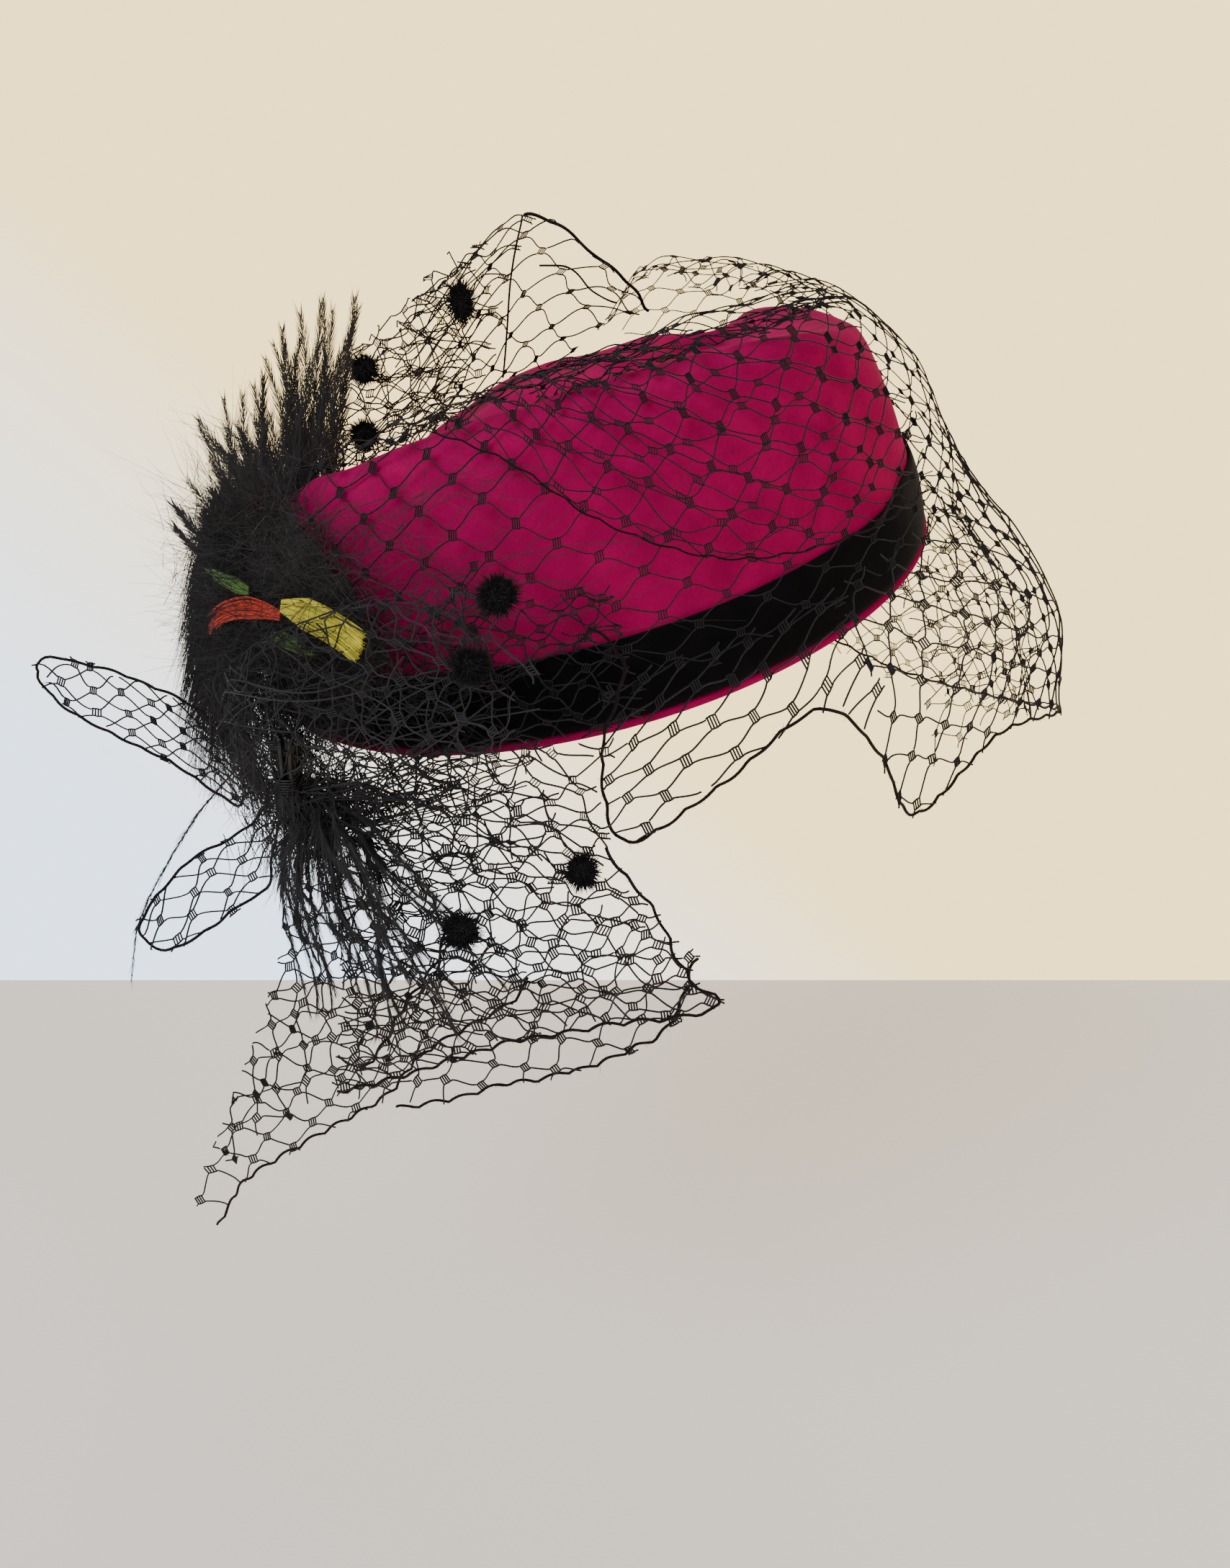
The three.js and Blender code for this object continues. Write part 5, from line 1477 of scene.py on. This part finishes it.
def vane(base, middle, tip, half_width, rng, frayed, blunt):
    """A dyed feather tip: long barbs lying close along a fine shaft, cut square or drawn out to wisps."""
    strands = Strands()
    facing = unit(np.array((-0.5, -0.85, 0.1)))
    q = np.linspace(0, 1, 14)
    spine = bezier(base, middle, tip, q) + facing * 3.0
    side = unit(np.cross(unit(np.gradient(spine, axis=0)), facing))
    strands.tubes(spine[None], facing, np.linspace(0.28, 0.08, 14)[None], sides=4)
    barbs = int(half_width * 30)
    across = rng.uniform(-1, 1, barbs)
    tuft = np.round(across * 5) / 5
    if blunt:
        stop = 1 + 0.05 * np.sin(tuft * 23) + rng.normal(0, 0.03, barbs)
    else:
        stop = 1 - 0.55 * np.abs(across) * rng.uniform(0.3, 1.2, barbs)
    along = q[None] * stop[:, None]
    at = (along * 13).clip(0, 12.999)
    i = at.astype(int)
    f = (at - i)[..., None]
    line, out = spine[i] * (1 - f) + spine[i + 1] * f, side[i] * (1 - f) + side[i + 1] * f
    swell = np.minimum(1, 0.35 + 2.2 * along) * (1.0 if blunt else 1 - 0.5 * along)
    drawn = across[:, None] + 0.6 * (tuft - across)[:, None] * along**1.5
    wide = drawn * half_width * swell + rng.normal(0, 0.5 * frayed, (barbs, 1)) * along**2
    high = rng.uniform(0, 1.5, (barbs, 1)) * (0.3 + 0.7 * along)
    high = high + rng.normal(0, 1.2 * frayed, (barbs, 1)) * along**2
    path = line + out * wide[..., None] + facing * high[..., None]
    tilt = unit(facing + side.mean(0) * rng.normal(0, 0.5, (barbs, 1)))
    strands.ribbons(path, tilt[:, None], 0.2 * (1 - 0.55 * q**3))
    return strands


def finished(piece, slot, *nodes):
    """Hides the frame's nodes that the piece takes the place of. piece and slot are not used."""
    if nodes:
        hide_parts(*nodes)


def veiling_thread():
    """The thread where it is stretched between knots."""
    colour = bpy.context.scene.toque_veil.thread_colour
    return thread_material("rayon veiling thread, spun", shade(colour, 0.7), shade(colour, 1), 0.06)


def bunched_thread():
    """The same thread where it lies loose over black, and catches the window along its twist."""
    colour = shade(bpy.context.scene.toque_veil.thread_colour, 0.8)
    return thread_material("rayon veiling thread, loose", colour, colour, 0.18, gloss=0.3)


def veiling_cord():
    """The corded selvage, tighter and browner than the net."""
    colour = bpy.context.scene.toque_veil.cord_colour
    return thread_material(
        "rayon selvage cord, twisted", shade(colour, 0.5), shade(colour, 1), 0.05, twist_mm=1.6
    )


def black_feather():
    """The barbs of all the black feathers."""
    colour = bpy.context.scene.toque_spray.black
    return feather_material("cock feather, dyed black", shade(colour, 0.3), shade(colour, 1), size_mm=4.0)


def veil_piece(name, made, *nodes, thread=None):
    """The woven threads as one piece and, where there are any, the corded edges as another."""
    strands, cords = made if isinstance(made, tuple) else (made, None)
    finished(strands.piece(name, thread or veiling_thread()), "net", *nodes)
    if cords:
        finished(cords.piece(f"{name}_selvage", veiling_cord()), "net")


# ---- Sizes and colours a user would change ----
def colour_property(name, text, code):
    """A colour to choose, starting at that sRGB hex colour."""
    return bpy.props.FloatVectorProperty(
        name=name, description=text, default=linear(code)[:3], size=3, min=0, max=1, subtype="COLOR"
    )


class CrownSettings(bpy.types.PropertyGroup):
    felt: colour_property("Felt", "Colour of the blocked felt", "#A30A50")
    thickness: bpy.props.FloatProperty(
        name="Felt thickness", description="Thickness of the felt", default=FELT * MM, min=0.001,
        max=0.004, subtype="DISTANCE", unit="LENGTH",
    )
    velvet: colour_property("Velvet", "Colour of the velvet ribbon", "#050405")


class VeilSettings(bpy.types.PropertyGroup):
    cell_length: bpy.props.FloatProperty(
        name="Diamond length", description="Length of one relaxed diamond along the selvage",
        default=CELL[0] * MM, min=0.008, max=0.04, subtype="DISTANCE", unit="LENGTH",
    )
    cell_height: bpy.props.FloatProperty(
        name="Diamond height", description="Height of one relaxed diamond across the selvage",
        default=CELL[1] * MM, min=0.005, max=0.03, subtype="DISTANCE", unit="LENGTH",
    )
    thread_colour: colour_property("Thread", "Colour of the veiling thread", "#2A292C")
    cord_colour: colour_property("Selvage", "Colour of the corded edge", "#1C0F13")


class DotSettings(bpy.types.PropertyGroup):
    pile: colour_property("Chenille", "Colour of the chenille pile", "#201F21")
    fibres: bpy.props.IntProperty(
        name="Fibres", description="Fibres in each dot", default=1100, min=200, max=4000
    )


class SpraySettings(bpy.types.PropertyGroup):
    black: colour_property("Black", "Colour of the black feathers", "#262322")
    yellow: colour_property("Yellow", "Colour of the broad feather tip", "#EBDD40")
    red: colour_property("Red", "Colour of the orange-red feather tip", "#CC3218")
    green: colour_property("Green", "Colour of the two green feather tips", "#567F2C")
    hairs: bpy.props.IntProperty(
        name="Hairs", description="Long barbs that lie over the felt", default=120, min=20, max=3000
    )


class StageSettings(bpy.types.PropertyGroup):
    wall: colour_property("Wall", "Colour of the light room behind", "#F3D79A")
    table: colour_property("Table", "Colour of the table", "#F6F1EA")
    key: bpy.props.FloatProperty(
        name="Window light", description="Power of the cool light on the wearer's right", default=14,
        min=0, max=200, unit="POWER",
    )
    warm: bpy.props.FloatProperty(
        name="Room light", description="Power of the warm light on the wearer's left", default=5,
        min=0, max=200, unit="POWER",
    )


# ---- Operators ----
class HAT_OT_crown(bpy.types.Operator):
    """Build the blocked felt crown"""

    bl_idname = "hat.crown"
    bl_label = "Felt Crown"

    def execute(self, context):
        props = context.scene.toque_crown
        shell = felt_crown(props.thickness / MM)
        finished(shell.piece("felt_crown", wool_felt(shade(props.felt, 1))), "felt", "crown")
        return {"FINISHED"}


class HAT_OT_band(bpy.types.Operator):
    """Lay the velvet ribbon round the crown"""

    bl_idname = "hat.band"
    bl_label = "Velvet Band"

    def execute(self, context):
        props = context.scene.toque_crown
        ribbon = velvet_band().piece("velvet_ribbon", silk_velvet(shade(props.velvet, 1)))
        finished(ribbon, "velvet", "velvet_band")
        return {"FINISHED"}


class HAT_OT_face_veil(bpy.types.Operator):
    """Drape the front veil, with its corded hem"""

    bl_idname = "hat.face_veil"
    bl_label = "Face Veil"

    def execute(self, context):
        veil_piece("face_veil", face_veil(), "veil_face")
        return {"FINISHED"}


class HAT_OT_crown_veils(bpy.types.Operator):
    """Drape the second layer on the crown and the puff above it"""

    bl_idname = "hat.crown_veils"
    bl_label = "Crown Veiling"

    def execute(self, context):
        veil_piece("crown_layer", crown_layer(), "veil_crown_layer")
        veil_piece("crown_puff", crown_puff(), "veil_puff")
        return {"FINISHED"}


class HAT_OT_hanging_veils(bpy.types.Operator):
    """Hang the wing, the tail and the two loops from the tie"""

    bl_idname = "hat.hanging_veils"
    bl_label = "Hanging Veiling"

    def execute(self, context):
        # Layers: angle of the rows, cell, lift, crumple, kept part. Corded lines: (u, v) along each.
        front = [
            (18, (14.5, 10.5), 0.8, 1.6, None),
            (-16, (15, 10.5), -1.6, 2.2, lambda u, v: u > 0.12),
        ]
        back = [(40, (15, 11), 0, 1.8, lambda u, v: u < 0.85)]
        tail = [
            (24, (15.5, 11.5), 0, 1.8, lambda u, v: u < TAIL_CUT),
            (58, (15, 11), 2.2, 2.4, lambda u, v: (v < 0.86) & (u < TAIL_CUT)),
        ]
        edge = [(0.0, 1.0), (0.25, 1.0), (0.5, 1.0), (0.75, 1.0), (1.0, 1.0)]
        front_edges = [[(-0.3, 1.0), (-0.12, 1.0), *edge]]
        tail_edges = [
            [(0.08, 1.0), (0.2, 1.0), (0.4, 1.0), (0.56, 1.0)],
            [(0.0, 0.55), (0.2, 0.75), (0.35, 0.85)],
        ]
        wing = hung(WING_FRONT_FOLDS, 51, front, front_edges, before=0.4)
        veil_piece("wing_front", wing, "veil_wing_front")
        veil_piece("wing_back", hung(WING_BACK_FOLDS, 54, back, [edge[:4]]), "veil_wing_back")
        veil_piece("tail", hung(TAIL_FOLDS, 57, tail, tail_edges, TAIL_CUT), "veil_tail")
        veil_piece("loop_high", loop(LOOP_HIGH, 61, 2.5), "veil_loop_high")
        veil_piece("loop_low", loop(LOOP_LOW, 65, 1.8), "veil_loop_low")
        return {"FINISHED"}


class HAT_OT_gathers(bpy.types.Operator):
    """Bunch the veiling over the feather base and bind it at the tie"""

    bl_idname = "hat.gathers"
    bl_label = "Gathers and Tie"

    def execute(self, context):
        veil_piece("gathers", gather(), "veil_gather", thread=bunched_thread())
        veil_piece("neck_of_veil", neck_of_veil())
        veil_piece("tie_wraps", tie(), "veil_tie", thread=bunched_thread())
        return {"FINISHED"}


class HAT_OT_dots(bpy.types.Operator):
    """Tie the chenille dots to the veiling"""

    bl_idname = "hat.dots"
    bl_label = "Chenille Dots"

    def execute(self, context):
        props = context.scene.toque_dots
        for k, (centre, width, height) in enumerate(DOTS):
            strands, core = Strands(), Strands()
            rng = np.random.default_rng(110 + k)
            dot(strands, core, np.array(centre), width, height, rng, props.fibres)
            dark = shade(props.pile, 0.3)
            pile = thread_material("chenille pile, cut", dark, shade(props.pile, 1), 0.3)
            # The knot is the pile's colour at 0.3, darker than the pile as painted shade among the fibres.
            shaded_core = thread_material("chenille core", dark, dark, 0.1)
            finished(strands.piece(f"dot_{k + 1}_pile", pile), "chenille", f"chenille_dot_{k + 1}")
            finished(core.piece(f"dot_{k + 1}_core", shaded_core), "chenille")
        return {"FINISHED"}


class HAT_OT_spray(bpy.types.Operator):
    """Build the black feather spray at the wearer's right"""

    bl_idname = "hat.spray"
    bl_label = "Feather Spray"

    def execute(self, context):
        black = black_feather()
        core, flue = flue_pad()
        # Painted shade: the pad's core is the feathers' black at 0.03, for the shade deep inside the flue.
        dark = shade(context.scene.toque_spray.black, 0.03)
        matted = feather_material("matted flue, dyed black", dark, dark, 0.1)
        finished(core.piece("flue_core", matted), "feather")
        finished(flue.piece("flue", black), "feather", "feather_pad")
        hairs = Strands()
        felt_hairs(hairs, np.random.default_rng(93), context.scene.toque_spray.hairs)
        finished(hairs.piece("long_barbs", black), "feather")
        finished(plume_up().piece("hackles", black), "feather", "plume_up")
        finished(side_fringe().piece("fringe", black), "feather", "feather_fringe")
        return {"FINISHED"}


class HAT_OT_lower_plume(bpy.types.Operator):
    """Fan the stripped feathers below the tie, with the bound quills"""

    bl_idname = "hat.lower_plume"
    bl_label = "Lower Plume"

    def execute(self, context):
        finished(plume_down().piece("stripped_feathers", black_feather()), "feather", "plume_down")
        horn = feather_material("quill, dyed black", linear("#0C0A0A"), linear("#241E1C"), 0.0, 3.0, 0.35)
        finished(quills().piece("quills", horn), "feather", "quill_bundle")
        return {"FINISHED"}


class HAT_OT_coloured_feathers(bpy.types.Operator):
    """Set the yellow, red and green feather tips"""

    bl_idname = "hat.coloured_feathers"
    bl_label = "Coloured Feathers"

    def execute(self, context):
        props = context.scene.toque_spray
        for k, (name, (base, middle, tip, half)) in enumerate(VANES.items()):
            dye = name.split("_")[0]
            colour = getattr(props, dye)
            dyed = feather_material(
                f"feather vane, dyed {dye}", shade(colour, 0.55), shade(colour, 1), 0.15, 2.5
            )
            frayed = 0.8 if name == "red" else 0.3
            blade = vane(base, middle, tip, half, np.random.default_rng(120 + k), frayed, name == "yellow")
            finished(blade.piece(f"tip_{name}", dyed), f"feather_{dye}", f"feather_{name}")
        return {"FINISHED"}


class HAT_OT_stage(bpy.types.Operator):
    """Set the table, the light room, the lamps and the camera"""

    bl_idname = "hat.stage"
    bl_label = "Stage"

    def execute(self, context):
        props = context.scene.toque_stage
        table_top(props.table)
        room(props.wall)
        lamp("window_light", (-0.75, -0.75, 0.95), 0.9, props.key, "#DDE8FF")
        lamp("room_light", (0.95, -0.45, 0.6), 0.9, props.warm, "#FFE4C4")
        lamp("back_light", (0.3, 0.6, 0.8), 0.6, props.warm * 0.5, "#FFF2E0")
        camera()
        return {"FINISHED"}


# ---- Stage, in metres ----
TABLE = {"height": -0.239, "far": 0.175, "near": -1.5, "half": 1.5, "thick": 0.03}
WALL_BEHIND = {"half": 1.5, "far": 1.6, "low": -1.3, "high": 0.9}
WALL_GLOW, TABLE_GLOW, ROOM_GLOW = 3.2, 0.2, 0.5  # light given off by each
AIM = (-0.02, -0.04, -0.01)  # where the lamps point
EYE = (0.006, -0.376, 0.069)
LOOK_DOWN = 20
FOCAL_MM, SENSOR_MM = 27.78, 36


def table_top(colour):
    """A board with a straight far edge."""
    data = bpy.data.meshes.new("table_top")
    x, near, far, z = TABLE["half"], TABLE["near"], TABLE["far"], TABLE["height"]
    low = z - TABLE["thick"]
    corners = [(-x, near, z), (x, near, z), (x, far, z), (-x, far, z), (-x, far, low), (x, far, low)]
    data.from_pydata(corners, [], [(0, 1, 2, 3), (3, 2, 5, 4)])
    top = bpy.data.objects.new("table_top", data)
    bpy.context.scene.collection.objects.link(top)
    # Painted board, matt: a plain pale ground that takes soft shadows.
    paint = shade(colour, 1)
    surface = {"Base Color": paint, "Roughness": 0.7}
    surface |= {"Emission Color": paint, "Emission Strength": TABLE_GLOW}
    material, _, _, _ = new_material("board, painted matt", surface)
    data.materials.append(material)


def room(colour):
    """The light from all round, and the bright wall behind."""
    world = bpy.data.worlds.new("light_room")
    bpy.context.scene.world = world
    world.use_nodes = True
    back = world.node_tree.nodes["Background"]
    back.inputs["Color"].default_value = linear("#F3EFE6")
    back.inputs["Strength"].default_value = ROOM_GLOW
    data = bpy.data.meshes.new("wall")
    x, y, low, high = WALL_BEHIND["half"], WALL_BEHIND["far"], WALL_BEHIND["low"], WALL_BEHIND["high"]
    data.from_pydata([(-x, y, low), (x, y, low), (x, y, high), (-x, y, high)], [], [(0, 1, 2, 3)])
    wall = bpy.data.objects.new("wall", data)
    bpy.context.scene.collection.objects.link(wall)
    # Painted plaster in full window light: it glows evenly behind the hat, cooler low on one side.
    surface = {"Base Color": (0, 0, 0, 1), "Roughness": 1.0, "Emission Strength": WALL_GLOW}
    material, tree, shader, where = new_material("plaster, painted and sunlit", surface)
    across = {"Rotation": (0, math.radians(45), 0), "Scale": (0.64, 1, 0.71), "Location": (0.75, 0, 0)}
    slope = add_node(tree, "ShaderNodeMapping", inputs=across, links={"Vector": where})
    blend = add_node(tree, "ShaderNodeTexGradient", links={"Vector": slope.outputs["Vector"]})
    glow = two_tone(tree, blend.outputs["Color"], linear("#D3E4FA"), shade(colour, 1), 0.0, 0.5)
    tree.links.new(glow, shader.inputs["Emission Color"])
    data.materials.append(material)


def lamp(name, place, size, power, code):
    """A square pane of light, aimed at the hat."""
    data = bpy.data.lights.new(name, "AREA")
    data.shape = "SQUARE"
    data.size, data.energy, data.color = size, power, linear(code)[:3]
    light = bpy.data.objects.new(name, data)
    light.location = place
    aim = mathutils.Vector(AIM) - light.location
    light.rotation_euler = aim.to_track_quat("-Z", "Y").to_euler()
    bpy.context.scene.collection.objects.link(light)


def camera():
    """The eye, a little above the hat and in front of it, looking down."""
    data = bpy.data.cameras.new("camera")
    data.sensor_fit, data.sensor_height, data.lens = "VERTICAL", SENSOR_MM, FOCAL_MM
    data.clip_start, data.clip_end = 0.01, 20
    eye = bpy.data.objects.new("camera", data)
    eye.location = EYE
    eye.rotation_euler = (math.radians(90 - LOOK_DOWN), 0, 0)
    bpy.context.scene.collection.objects.link(eye)
    bpy.context.scene.camera = eye


class HAT_PT_toque(bpy.types.Panel):
    """Lists the builders in order"""

    bl_idname = "HAT_PT_toque"
    bl_label = "Veiled Toque"
    bl_space_type = "VIEW_3D"
    bl_region_type = "UI"
    bl_category = "Toque"

    def draw(self, context):
        layout = self.layout
        for name in SETTINGS:
            box = layout.box()
            group = getattr(context.scene, name)
            for key in SETTINGS[name].__annotations__:
                box.prop(group, key)
        for step in STEPS:
            layout.operator(step.bl_idname)


SETTINGS = {
    "toque_crown": CrownSettings,
    "toque_veil": VeilSettings,
    "toque_dots": DotSettings,
    "toque_spray": SpraySettings,
    "toque_stage": StageSettings,
}
STEPS = [
    HAT_OT_crown,
    HAT_OT_band,
    HAT_OT_face_veil,
    HAT_OT_crown_veils,
    HAT_OT_hanging_veils,
    HAT_OT_gathers,
    HAT_OT_dots,
    HAT_OT_spray,
    HAT_OT_lower_plume,
    HAT_OT_coloured_feathers,
    HAT_OT_stage,
]


def register():
    """Adds the settings, the builders and the panel."""
    for kind in (*SETTINGS.values(), *STEPS, HAT_PT_toque):
        bpy.utils.register_class(kind)
    for name, group in SETTINGS.items():
        setattr(bpy.types.Scene, name, bpy.props.PointerProperty(type=group))


def unregister():
    """Takes them away again."""
    for name in SETTINGS:
        delattr(bpy.types.Scene, name)
    for kind in (HAT_PT_toque, *reversed(STEPS), *SETTINGS.values()):
        bpy.utils.unregister_class(kind)


def main():
    """Builds everything once, in order."""
    register()
    for step in STEPS:
        area, name = step.bl_idname.split(".")
        getattr(getattr(bpy.ops, area), name)()


if __name__ == "__main__":
    main()
